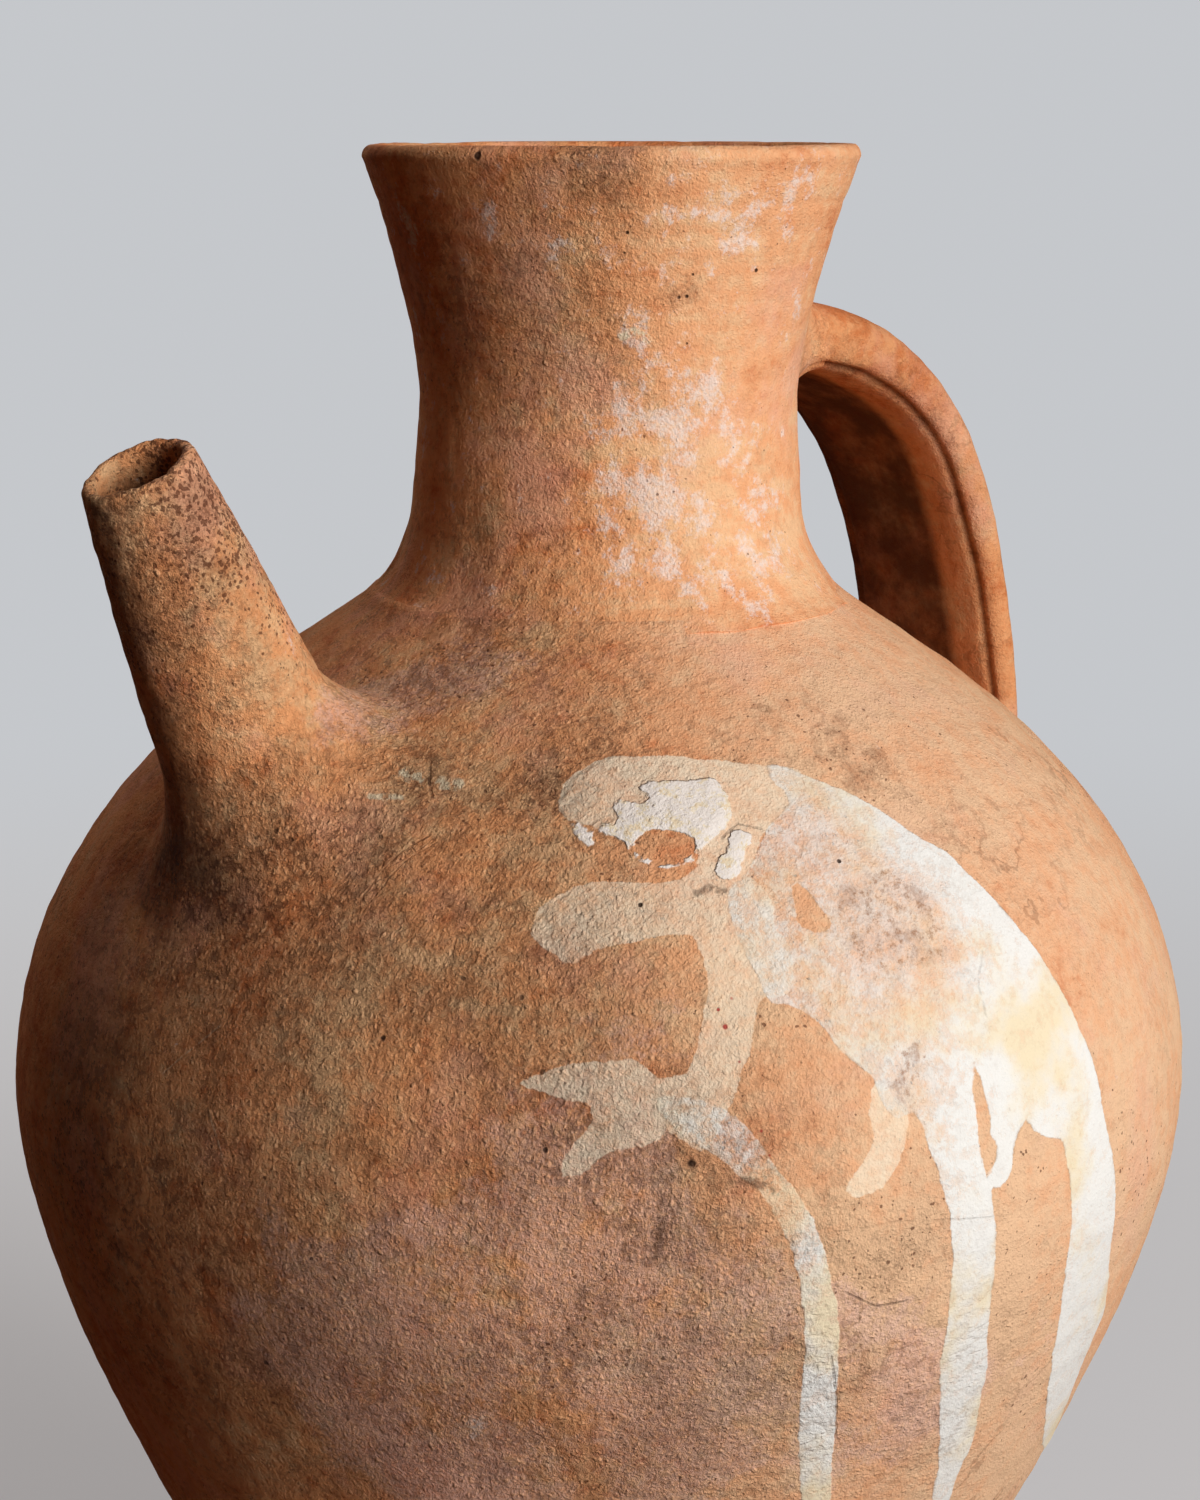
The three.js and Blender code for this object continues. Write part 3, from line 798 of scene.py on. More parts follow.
def new_group(name, takes, gives):
    """An empty node group with named sockets, its bench, its inputs and its output node."""
    tree = bpy.data.node_groups.new(name, "ShaderNodeTree")
    for label, kind in takes.items():
        tree.interface.new_socket(name=label, in_out="INPUT", socket_type=SOCKETS[kind])
    for label, kind in gives.items():
        tree.interface.new_socket(name=label, in_out="OUTPUT", socket_type=SOCKETS[kind])
    bench = Bench(tree)
    return tree, bench, bench.put("NodeGroupInput").outputs, bench.put("NodeGroupOutput").inputs


def give(tree, outputs, **values):
    for label, value in values.items():
        tree.links.new(value, outputs[label])


# %% [markdown]
# ## Fired clay
#
# Low-fired clay is never one orange. The kiln leaves slow patches from deep orange to pale gold,
# with a rosy cast here and there. Within them the clay is cloudy at a couple of centimetres and at
# a few millimetres, and the wheel draws faint level streaks. Each scale is a noise of its own, so
# that each can be made stronger or weaker alone. A noise's scale is its number of hills in a metre.

# %% Group: fired clay colour
clay_group, b, take, out = new_group(
    "fired_clay",
    {"Place": "place", "Deep": "colour", "Middle": "colour", "Pale": "colour", "Rosy": "colour",
     "Bleached": "colour", "Bleach": "number", "Patches": "number", "Streaks": "number"},
    {"Colour": "colour"})
slow = b.swing(b.noise(take["Place"], 10, 3, 0.5), take["Patches"])
clouds = b.swing(b.noise(take["Place"], 42, 6, 0.62), 0.60)
small = b.swing(b.noise(take["Place"], 210, 5, 0.70), 0.62)
drawn = b.swing(b.noise(b.stretch(take["Place"], 0.07, 1.0), 300, 3, 0.6), take["Streaks"])
# Painted light: towards the lamp the tone is raised and the clay is mixed to a paler colour.
tone = b.total(slow, clouds, small, drawn, b.times(take["Bleach"], 0.10))
low_half = b.mix(b.step(tone, -0.17, 0.01), take["Deep"], take["Middle"])
golden = b.mix(b.step(tone, 0.01, 0.19), low_half, take["Pale"])
rosy = b.step(b.noise(b.moved(take["Place"], 0.3), 24, 7, 0.66), 0.49, 0.66, 0.0, 0.6)
clay = b.mix(rosy, golden, take["Rosy"])
lit_paled = b.times(take["Bleach"], b.step(tone, -0.22, 0.20, 0.45, 1.0))
give(clay_group, out, Colour=b.mix(b.times(lit_paled, 0.65), clay, take["Bleached"]))

# %% [markdown]
# ## Grit
#
# The clay is full of sand. Where it was scraped the grains were dragged about, so that they stand
# out of a torn surface with hollows between them, and where it was wiped only a fine tooth is left.
# Big cells, 600 to the metre, make the grains and the holes that lost ones leave. Tiny cells, 1100
# to the metre, make the tooth and the dark pores. One group gives the relief in millimetres and the
# masks that go with it: the hollows get dirt and painted shade, the crests are rubbed pale. Because
# the colour follows the relief, the clay still looks gritty where the light is flat.

# %% Group: grit
grit_group, b, take, out = new_group(
    "grit",
    {"Place": "place", "Rough": "number", "Pores": "number", "Streaks": "number"},
    {"Height": "number", "Hollow": "number", "Crest": "number", "Pores": "number", "Pits": "number"})
patchy = b.step(b.noise(take["Place"], 30, 4, 0.62), 0.34, 0.62, 0.55, 1.25)
coarse = b.times(take["Rough"], patchy)
loose = b.shaken(take["Place"], 900, 0.0008)
big = b.put("ShaderNodeTexVoronoi", {"Vector": loose, "Scale": 600.0}).outputs
tiny = b.put("ShaderNodeTexVoronoi", {"Vector": b.moved(loose, 0.23), "Scale": 1100.0}).outputs
grains = b.times(b.step(big["Distance"], 0.48, 0.14), b.step(big["Color"], 0.55, 0.90))
tooth = b.times(b.step(tiny["Distance"], 0.55, 0.10), b.step(tiny["Color"], 0.20, 0.80))
torn = b.swing(b.noise(loose, 360, 5, 0.76), 3.0)
drawn = b.swing(b.noise(b.stretch(take["Place"], 0.05, 1.0), 320, 2, 0.5), take["Streaks"])
fine = b.swing(b.noise(take["Place"], 1700, 2, 0.6), 0.35)
lumps = b.swing(b.noise(take["Place"], 130, 3, 0.6), 1.3)
raw = b.total(b.times(tooth, b.total(0.10, b.times(coarse, 0.24))),
              b.times(grains, b.total(0.04, b.times(coarse, 0.60))),
              b.times(b.total(torn, lumps), b.total(0.08, b.times(coarse, 0.9))), fine, drawn)
margin = b.sum("SUBTRACT", b.times(coarse, 0.11), big["Color"])
pits = b.step(b.sum("SUBTRACT", big["Distance"], b.times(margin, 3.4)), 0.08, -0.10)
height = b.total(raw, b.times(pits, -0.45))
thick = b.step(b.noise(take["Place"], 19, 5, 0.65), 0.36, 0.64, 0.35, 1.2)
margin = b.sum("SUBTRACT", b.times(take["Pores"], thick, 0.34), tiny["Color"])
pores = b.step(b.sum("SUBTRACT", tiny["Distance"], b.times(margin, 2.4)), 0.08, -0.12)
on_grains = b.times(grains, b.total(0.20, coarse))
crest = b.sum("MAXIMUM", b.step(raw, 0.26, 0.60), on_grains, clamp=True)
between_grains = b.times(b.step(tooth, 0.35, 0.0), b.step(grains, 0.35, 0.0), coarse)
hollow = b.sum("MAXIMUM", b.step(raw, 0.08, -0.26), b.times(between_grains, 0.30), clamp=True)
give(grit_group, out, Height=height, Hollow=hollow, Crest=crest, Pores=pores, Pits=pits)

# %% [markdown]
# ## Blooms, dust, grime and painted shade
#
# Salts and lime creep out of old clay and dry as pale, feathery patches. Dirt does the opposite and
# comes to lie in smears, and the grime marks paint shade in the same way. All have torn, cloudy
# edges and a dusty inside, so one group serves for all of them: a cloudy noise shows where it is
# above a level, and the mark lowers that level. The cover says how far a full mark lowers it.

# %% Group: torn marks
torn_group, b, take, out = new_group(
    "torn_mark",
    {"Place": "place", "Mark": "number", "Everywhere": "number", "Size": "number",
     "Cover": "number"},
    {"Mask": "number"})
cloud = b.noise(take["Place"], take["Size"], 11, 0.76)
wanted = b.times(b.total(take["Mark"], take["Everywhere"]), take["Cover"])
need = b.sum("SUBTRACT", 0.74, wanted)
dust = b.step(b.noise(take["Place"], 900, 3, 0.6), 0.36, 0.60, 0.45, 1.0)
give(torn_group, out, Mask=b.times(b.step(b.sum("SUBTRACT", cloud, need), -0.035, 0.065), dust))

# %% [markdown]
# Water that dried on the shoulder left thin brown lines where its edge stood. They are the lines
# of equal height on a cloudy field, kept only here and there.

# %% Group: water lines
water_group, b, take, out = new_group("water_lines", {"Place": "place"}, {"Mask": "number"})
field = b.swing(b.noise(take["Place"], 21, 6, 0.6), 1.0)
lines = b.step(b.sum("ABSOLUTE", field), 0.014, 0.002)
kept = b.step(b.noise(b.moved(take["Place"], 0.5), 19, 3, 0.5), 0.50, 0.64)
give(water_group, out, Mask=b.times(lines, kept))

# %% [markdown]
# ## Slip
#
# The slip's edge is crisp but ragged. Its reach in millimetres comes from the traced outlines, and
# noise moves the edge in and out a little. Where the coat is worn the clay shows through in flecks.
# The edge mask is a narrow band along the outline, where dirt gathers.

# %% Group: slip coat
slip_group, b, take, out = new_group(
    "slip_coat",
    {"Place": "place", "Reach": "number", "Ragged": "number", "Cover": "number"},
    {"Mask": "number", "Edge": "number"})
ragged = b.total(b.swing(b.noise(take["Place"], 150, 3, 0.6), 1.0),
                 b.swing(b.noise(take["Place"], 620, 3, 0.6), 0.6))
reach = b.total(take["Reach"], b.times(ragged, take["Ragged"]))
sheet = b.step(reach, -0.22, 0.26)
worn = b.total(b.times(b.noise(take["Place"], 100, 9, 0.74), 0.55),
               b.times(b.noise(take["Place"], 460, 5, 0.72), 0.45))
bare = b.sum("SUBTRACT", 0.86, b.times(take["Cover"], 0.72))
cover = b.step(b.sum("SUBTRACT", worn, bare), -0.09, 0.09)
edge = b.times(b.step(reach, -0.7, 0.0), b.step(reach, 0.8, 0.2))
give(slip_group, out, Mask=b.times(sheet, cover), Edge=edge)

# %% [markdown]
# ## Thin lines
#
# The group turns the values from the tracing back into lines: dark, pale and dented ones.

# %% Group: thin lines
line_group, b, take, out = new_group(
    "thin_lines",
    {"Place": "place", "Aside": "number", "Apart": "number", "Tint": "number", "Dent": "number"},
    {"Dark": "number", "Pale": "number", "Height": "number"})
waver = b.swing(b.noise(take["Place"], 420, 3, 0.65), 1.6)
line = b.step(b.sum("ABSOLUTE", b.total(take["Aside"], waver)), 1.0, 0.35)
line = b.times(line, b.step(take["Apart"], 2.4, 1.5))
broken = b.step(b.noise(take["Place"], 330, 4, 0.65), 0.36, 0.52)
dark = b.times(b.sum("MAXIMUM", take["Tint"], 0.0), line, broken)
pale = b.times(b.sum("MAXIMUM", b.times(take["Tint"], -1.0), 0.0), line, broken)
give(line_group, out, Dark=dark, Pale=pale, Height=b.times(line, take["Dent"], -1.0))

# %% [markdown]
# ## Splashed dots
#
# A few red specks of paint and some deep pits are round and tiny, so the shader measures how far the
# surface is from each of them. The centre is put on the worked clay, where the dot really lies.

# %% Dots
RED_SPECKS = [(731, 999, 0.5), (725, 1027, 0.6), (739, 1062, 0.45), (761, 1131, 0.5),
              (769, 1155, 0.4), (718, 1010, 0.4)]
DEEP_PITS = [(691, 1163, 1.0), (838, 862, 0.5), (545, 1150, 0.6), (383, 1038, 0.6), (640, 905, 0.5)]
NECK_PITS = [(717, 590, 0.45), (724, 581, 0.4), (729, 578, 0.45), (627, 232, 0.45), (624, 252, 0.4),
             (755, 270, 0.45), (686, 343, 0.4), (560, 492, 0.6), (477, 156, 0.9), (678, 297, 0.5),
             (686, 296, 0.45), (692, 274, 0.4)]


def dot_mask(bench, place, dots):
    """Where the surface is within its radius of a dot."""
    mask = 0.0
    for across, down, radius in dots:
        centre = on_clay(across, down)[None]
        _, out, _ = whole_wall.nearest(centre)
        centre = lean(centre + out * handwork(centre)[:, None])[0] * MM
        gap = bench.put("ShaderNodeVectorMath", {0: place, 1: tuple(centre)}, operation="DISTANCE")
        dot = bench.step(gap.outputs["Value"], radius * MM * 1.3, radius * MM * 0.6)
        mask = bench.sum("MAXIMUM", dot, mask)
    return mask


# %% [markdown]
# ## The clay finishes
#
# Each finish lays the same coats in the same order: clay, painted paler towards the lamp, mauve
# dust, lime, grime with painted shade, and water lines, then painted shade and dirt in the hollows,
# the rubbed crests and the pores. On the body the thin wash, the slip, its brown stains and the
# thick crust follow. Last come the pits, the thin lines, the soot with painted shade and the dots,
# which lie over everything. What differs is the strength of some of them. The slip is never one
# even sheet: an uneven value, cloudy and flecked, makes it thicker and thinner.

# %% Clay finish maker
# How much a full mask of each coat hides what lies under it
HIDES = {"mauve": 0.52, "bloom": 0.85, "grime_and_shade": 0.42, "crest": 0.42, "pores": 0.74, "edge": 0.42,
         "stain": 0.48, "crumbs": 0.60, "furrow": 0.20, "pits": 0.72, "dark_line": 0.80,
         "pale_line": 0.85, "soot_and_shade": 0.92, "red": 0.9, "hole": 0.92}
# How proud each coat stands, in millimetres. The negative ones are cut in.
STANDS = {"slip": 0.16, "wash": 0.04, "crust": 0.40, "furrow": -0.12, "hole": -0.7}
DRY, SLIP_SMOOTHER = 0.95, 0.12  # roughness of bare clay, and what a full coat of slip takes off it
SPARKLE = 0.22


def clay_finish(name, patches=0.6, streaks=0.12, relief=1.3, pores=0.72, lime=0.3, dirt=0.0,
                lined=0.35, lit_paling=1.0, slipped=False, red=(), pits=()):
    material = bpy.data.materials.new(name)
    material.use_nodes = True
    tree = material.node_tree
    tree.nodes.clear()
    bench = Bench(tree)
    place = bench.put("ShaderNodeTexCoord").outputs["Object"]

    def mark(label):
        return bench.put("ShaderNodeAttribute", attribute_name=label).outputs["Fac"]

    def group(kind, **feeds):
        node = bench.put("ShaderNodeGroup", node_tree=kind)
        for label, value in {"Place": place, **feeds}.items():
            if isinstance(value, bpy.types.NodeSocket):
                tree.links.new(value, node.inputs[label])
            else:
                node.inputs[label].default_value = value
        return node.outputs

    def coat(colour, mask, strength, over):
        return bench.mix(bench.times(mask, strength), colour, over)

    def torn(label, everywhere, size, cover):
        return group(torn_group, Mark=mark(label), Everywhere=everywhere, Size=size,
                     Cover=cover)["Mask"]

    # Painted light: the pale mark is the side towards the lamp.
    pale = mark("pale")
    grit = group(grit_group, Rough=bench.times(mark("rough"), relief), Pores=pores,
                 Streaks=streaks * 0.6)
    colour = group(clay_group, Deep=DEEP_ORANGE, Middle=FIRED_ORANGE, Pale=PALE_GOLD,
                   Rosy=ROSY_CLAY, Bleached=LIT_SIDE_CLAY, Bleach=bench.times(pale, lit_paling),
                   Patches=patches, Streaks=streaks * 1.5)["Colour"]
    colour = coat(colour, torn("mauve", 0.0, 34.0, 0.30), HIDES["mauve"], MAUVE_DUST)
    colour = coat(colour, torn("bloom", lime, 130.0, 0.165), HIDES["bloom"], LIME_PINK)
    # Grime, and painted shade under the spout, at the lower left and round the handle's upper end
    colour = coat(colour, torn("grime_and_shade", dirt, 80.0, 0.27), HIDES["grime_and_shade"], GRIME_AND_SHADE_BROWN)
    colour = coat(colour, group(water_group)["Mask"], lined, GRIME_AND_SHADE_BROWN)
    # Painted shade and dirt in the grit's hollows, less towards the lamp, more under grime marks
    shadow = bench.sum("SUBTRACT", 0.34, bench.times(pale, 0.12))
    shadow = bench.total(shadow, bench.times(mark("grime_and_shade"), 0.40))
    colour = coat(colour, grit["Hollow"], shadow, PORE_AND_SHADE_BROWN)
    colour = coat(colour, grit["Crest"], HIDES["crest"], SAND_CREAM)
    colour = coat(colour, grit["Pores"], HIDES["pores"], PORE_AND_SHADE_BROWN)
    height = grit["Height"]
    bare = 1.0
    rough = DRY
    if slipped:
        sheer, stained, wrinkled = mark("sheer"), mark("stained"), mark("wrinkled")
        mottle = bench.swing(bench.noise(place, 120, 9, 0.80), 1.0)
        flecked = bench.swing(bench.step(bench.noise(place, 300, 6, 0.8), 0.40, 0.58), 1.0)
        uneven = bench.total(bench.times(mottle, 2.2), bench.times(flecked, 0.55))
        wash = group(slip_group, Reach=mark("wash"), Ragged=2.2,
                     Cover=bench.sum("SUBTRACT", 0.92, bench.times(sheer, 0.20)))["Mask"]
        thinned = bench.total(0.74, bench.times(sheer, -0.18), bench.times(uneven, 0.5))
        thinned = bench.sum("MINIMUM", thinned, 0.9, clamp=True)
        colour = coat(colour, wash, thinned, WASH_CREAM)
        slip_coat = group(slip_group, Reach=mark("slip"), Ragged=1.6,
                          Cover=bench.sum("SUBTRACT", 1.05, bench.times(sheer, 0.22)))
        slip = slip_coat["Mask"]
        crust_coat = group(slip_group, Reach=mark("crust"), Ragged=2.2, Cover=1.1)
        crust = crust_coat["Mask"]
        # Painted light: the slip is whiter, more solid and less mottled on the side towards the lamp.
        whiter = bench.total(bench.noise(place, 30, 5, 0.6), bench.times(pale, 0.30))
        slip_colour = bench.mix(bench.step(whiter, 0.62, 0.82), SLIP_CREAM, SLIP_WHITE)
        fleck = bench.step(bench.noise(place, 240, 7, 0.75), 0.50, 0.72)
        slip_colour = coat(slip_colour, fleck, bench.total(0.10, bench.times(stained, 0.55)),
                           STAIN_BROWN)
        solid = bench.total(0.84, bench.times(pale, 0.16), bench.times(sheer, -0.54))
        mottled = bench.sum("SUBTRACT", 1.15, bench.times(pale, 0.60))
        opaque = bench.total(solid, bench.times(uneven, mottled))
        opaque = bench.sum("MINIMUM", opaque, 0.97, clamp=True)
        colour = bench.mix(bench.times(slip, opaque), colour, slip_colour)
        rim_stain = group(torn_group, Mark=0.55, Everywhere=0.0, Size=110.0, Cover=0.34)["Mask"]
        edges = bench.sum("MAXIMUM", slip_coat["Edge"], crust_coat["Edge"])
        colour = coat(colour, bench.times(edges, rim_stain), HIDES["edge"], STAIN_BROWN)
        colour = coat(colour, torn("stained", -0.36, 150.0, 0.34), HIDES["stain"], CRUMB_BROWN)
        colour = coat(colour, torn("stained", -0.42, 420.0, 0.36), HIDES["crumbs"], CRUMB_BROWN)
        crust_colour = bench.mix(bench.step(uneven, -0.35, 0.05), SLIP_CREAM, CRUST_WHITE)
        colour = bench.mix(bench.times(crust, bench.step(uneven, -0.50, -0.20, 0.50, 0.96)), colour,
                           crust_colour)
        folds = bench.swing(bench.noise(bench.stretch(place, 1.0, 1.7), 150, 3, 0.5), 1.0)
        furrow = bench.times(bench.step(bench.sum("ABSOLUTE", folds), 0.06, 0.0), wrinkled, slip)
        colour = coat(colour, furrow, HIDES["furrow"], STAIN_BROWN)
        covered = bench.sum("MAXIMUM", bench.times(slip, opaque), crust)
        smoothed = bench.sum("MAXIMUM", bench.times(covered, 0.60), bench.times(wash, 0.35))
        height = bench.times(height, bench.sum("SUBTRACT", 1.0, smoothed))
        height = bench.total(height, bench.times(slip, opaque, STANDS["slip"]),
                             bench.times(wash, STANDS["wash"]),
                             bench.times(crust, STANDS["crust"]),
                             bench.times(furrow, STANDS["furrow"]))
        bare = bench.sum("SUBTRACT", 1.0, bench.times(covered, 0.85))
        rough = bench.sum("SUBTRACT", DRY, bench.times(covered, SLIP_SMOOTHER))
    colour = coat(colour, bench.times(grit["Pits"], bare), HIDES["pits"], PIT_BLACK)
    thin_lines = group(line_group, Aside=mark("aside"), Apart=mark("apart"), Tint=mark("tint"),
                       Dent=mark("dent"))
    colour = coat(colour, thin_lines["Dark"], HIDES["dark_line"], PIT_BLACK)
    colour = coat(colour, thin_lines["Pale"], HIDES["pale_line"], SLIP_CREAM)
    height = bench.total(height, thin_lines["Height"])
    # Soot and painted shade: in the spout's bore, beside its foot, and on the handle's inner face and
    # seams
    smoky = bench.step(bench.noise(place, 60, 6, 0.65), 0.3, 0.6, 0.7, 1.0)
    colour = coat(colour, bench.times(mark("soot_and_shade"), smoky), HIDES["soot_and_shade"], SOOT_AND_SHADE_BROWN)
    if red:
        colour = coat(colour, dot_mask(bench, place, red), HIDES["red"], SPLASH_RED)
    if pits:
        holes = dot_mask(bench, place, pits)
        colour = coat(colour, holes, HIDES["hole"], PIT_BLACK)
        height = bench.total(height, bench.times(holes, STANDS["hole"]))
    bump = bench.put("ShaderNodeBump", {"Height": height, "Distance": MM})
    shader = bench.put("ShaderNodeBsdfPrincipled", {
        "Base Color": colour, "Roughness": rough, "Specular IOR Level": SPARKLE,
        "Normal": bump.outputs[0]})
    bench.put("ShaderNodeOutputMaterial", {"Surface": shader.outputs[0]})
    return material


# %% [markdown]
# The five finishes differ in strength, and the body alone carries slip. The neck is smoother and
# more bloomed. The spout is rough, dirty and peppered with pores. The handle was stroked smooth by
# wet hands. Towards the lamp the neck and spout get less painted light than the body, the handle
# none.

# %% Finishes
body_clay = clay_finish("body_clay", slipped=True, red=RED_SPECKS, pits=DEEP_PITS)
neck_clay = clay_finish("neck_clay", patches=0.7, relief=1.1, pores=0.6, lime=0.8, streaks=0.2,
                        lined=0.1, lit_paling=0.45, pits=NECK_PITS)
spout_clay = clay_finish("spout_clay", relief=2.2, pores=1.5, streaks=0.0, dirt=0.4, lined=0.2,
                         lit_paling=0.4)
handle_clay = clay_finish("handle_clay", patches=0.7, relief=0.5, pores=0.12, streaks=0.0,
                          lime=0.0, dirt=0.4, lined=0.3, lit_paling=0.0)
luting_clay = clay_finish("luting_clay", pores=0.6, lined=0.2)
print("finishes:", ", ".join(m.name for m in bpy.data.materials))

# %% [markdown]
# ## The bowl
#
# The lower half is thrown as an open bowl, so it has a thick flat floor, a softly worn foot and a
# wall of even thickness. Its section is drawn from the middle of the foot out, up the outside, over
# the tongue of the joint, down the inside and in over the floor. The slip isn't only a colour: it is
# laid on the wall as a thin layer, thicker where it has crusted and folded where it wrinkled.

# %% Lower body
BODY_AROUND = 500
BODY_RIPPLE = 0.10  # height of the throwing spiral
WORN_FOOT, FOOT_BULGE = 3.5, 0.6  # how far the foot's edge is worn round, and how full it stays
OUTSIDE_SPACING, INSIDE_SPACING = 1.7, 7.0
CENTRE_RING = 4  # radius of the innermost rows, which a fan closes
FLOOR_BEND, FLOOR_PULL, FLOOR_RISE = 30, 9, 14  # the round corner between the floor and the wall


def offset(outline, distance):
    """An outline moved sideways, outward for one drawn upwards."""
    run = np.gradient(outline, axis=0)
    run /= np.linalg.norm(run, axis=1)[:, None]
    return outline + np.stack([run[:, 1], -run[:, 0]], axis=1) * distance


tongue_radius = girth["radius"] - wall + tongue["thickness"]
inner_girth = girth["radius"] - wall
tongue_top = girth["height"] + tongue["height"]

above_foot = lower_outline[lower_outline[:, 1] > WORN_FOOT]
foot_flat = base["radius"] - WORN_FOOT
worn_edge = bezier([(foot_flat, 0), (base["radius"] + FOOT_BULGE, 0), above_foot[0]], 6)
underside = evenly([(CENTRE_RING, 0), (foot_flat, 0)], 4)
bowl_inside = offset(lower_outline, -wall)
bowl_inside = bowl_inside[bowl_inside[:, 1] > base["thickness"] + FLOOR_RISE]
floor_edge = (bowl_inside[0][0] - FLOOR_BEND, base["thickness"])
floor_curve = bezier([floor_edge, (bowl_inside[0][0] - FLOOR_PULL, base["thickness"]),
                      bowl_inside[0]], 8)
bowl_section = np.vstack([
    underside,
    worn_edge[1:],
    evenly(above_foot, OUTSIDE_SPACING)[1:],
    [(tongue_radius, girth["height"]), (tongue_radius, tongue_top), (inner_girth, tongue_top)],
    evenly(bowl_inside, INSIDE_SPACING)[::-1],
    floor_curve[::-1][1:],
    evenly([floor_edge, (CENTRE_RING, base["thickness"])], 8)[1:],
])


def work_the_wall(rows, outs, ripple, pitch=9.0):
    """Moves rows of points by the handwork, along their outward directions."""
    flat, out = rows.reshape(-1, 3), outs.reshape(-1, 3)
    moved = flat + out * handwork(flat, ripple, pitch)[:, None]
    return moved.reshape(rows.shape)


SLIP_THICK, CRUST_THICK, FOLD_HEIGHT, FOLD_SIZE = 0.16, 0.40, 0.30, 5.5
SHEER_LOSS = 0.8  # share of its thickness that the slip lacks where it is sheer


def slip_height(values, points):
    """How proud the slip stands of the clay, in millimetres."""
    coated = soft_step(-0.6, 1.4, values["slip"])
    crusted = soft_step(-0.8, 1.8, values["crust"])
    folds = FOLD_HEIGHT * clay_noise(points, FOLD_SIZE, 81) * values["wrinkled"]
    thinned = 1 - SHEER_LOSS * values["sheer"]
    return SLIP_THICK * coated * thinned + CRUST_THICK * crusted + folds * coated


def slipped_wall(rows, outs):
    """Marks for rows of the body's wall, and the rows with the slip laid on."""
    flat = rows.reshape(-1, 3)
    values = wall_marks(flat, BODY_LINES, slipped=True)
    thick = slip_height(values, flat)[:, None] * outs.reshape(-1, 3)
    return values, (flat + thick).reshape(rows.shape)


bowl_rows, bowl_outs = turned_rows(bowl_section, BODY_AROUND)
bowl_outs[:len(underside)] = 0  # the foot stays flat on the table
wall_rows = len(worn_edge) - 1 + len(evenly(above_foot, OUTSIDE_SPACING)) - 1
joint_start = len(underside) + wall_rows
bowl_outs[joint_start:joint_start + 3] = 0
girth_out = bowl_outs[joint_start - 1].copy()
girth_out[:, 2] = 0
bowl_outs[joint_start - 1] = girth_out / np.linalg.norm(girth_out, axis=1)[:, None]
bowl_rows = work_the_wall(bowl_rows, bowl_outs, BODY_RIPPLE)
bowl_rows[..., 2] = np.maximum(bowl_rows[..., 2], 0)
bowl_values, bowl_rows = slipped_wall(bowl_rows, bowl_outs)
bowl_mesh, _ = closed_mesh("thrown_bowl", bowl_rows, ring=False,
                           tips=[(0, 0, 0), (0, 0, base["thickness"])])
mark_clay(bowl_mesh, bowl_values)
add_piece("thrown_bowl", bowl_mesh, ["lower_body"], body_clay)

# %% [markdown]
# ## The shoulder
#
# The upper half is thrown apart, turned over and set on the bowl. Its lower edge laps outside the
# bowl's tongue. Outside, the potter smoothed the seam away, so both halves share the same handwork
# there. The hole under the spout is drilled with a boolean.

# %% Upper body
shoulder_inside = offset(upper_outline, -wall)
shoulder_inside = shoulder_inside[(shoulder_inside[:, 1] > tongue_top + 4)
                                  & (shoulder_inside[:, 0] > neck_hole["ring_radius"])]
shoulder_inside = shoulder_inside[shoulder_inside[:, 1] < neck_hole["ring_height"]]
shoulder_outside = evenly(upper_outline, OUTSIDE_SPACING * 0.95)
shoulder_section = np.vstack([
    shoulder_outside,
    evenly([(seat["radius"] - 2, seat["height"]), (neck_hole["radius"], seat["height"])], 3),
    [(neck_hole["radius"], neck_hole["ring_height"])],
    [(neck_hole["ring_radius"], neck_hole["ring_height"])],
    evenly(shoulder_inside, INSIDE_SPACING * 0.8)[::-1],
    [(inner_girth, tongue_top + 0.3), (tongue_radius + 0.3, tongue_top + 0.3),
     (tongue_radius + 0.3, girth["height"])],
])
shoulder_rows, shoulder_outs = turned_rows(shoulder_section, BODY_AROUND)
shoulder_outs[0] = bowl_outs[joint_start - 1]
shoulder_outs[len(shoulder_outside) + 1:len(shoulder_outside) + 4] = 0
shoulder_outs[-3:] = 0
shoulder_rows = work_the_wall(shoulder_rows, shoulder_outs, BODY_RIPPLE)
shoulder_values, shoulder_rows = slipped_wall(shoulder_rows, shoulder_outs)
shoulder_mesh, _ = closed_mesh("thrown_shoulder", shoulder_rows, ring=True)
mark_clay(shoulder_mesh, shoulder_values)
shoulder = add_piece("thrown_shoulder", shoulder_mesh, ["upper_body"], body_clay)

# %% [markdown]
# ## The neck
#
# The neck is thrown as a flaring tube. Its spigot sits in the hole, and the rim is a rounded lip
# with three throwing grooves under it. The potter smeared its foot down over the shoulder with a
# thumb, so the joint has all but gone: it shows only as a crooked little step at the left, and as a
# faint one at the right. The smear is a skirt whose lower edge dives under the shoulder's surface,
# and where the joint shows, the edge stays a hair above it.

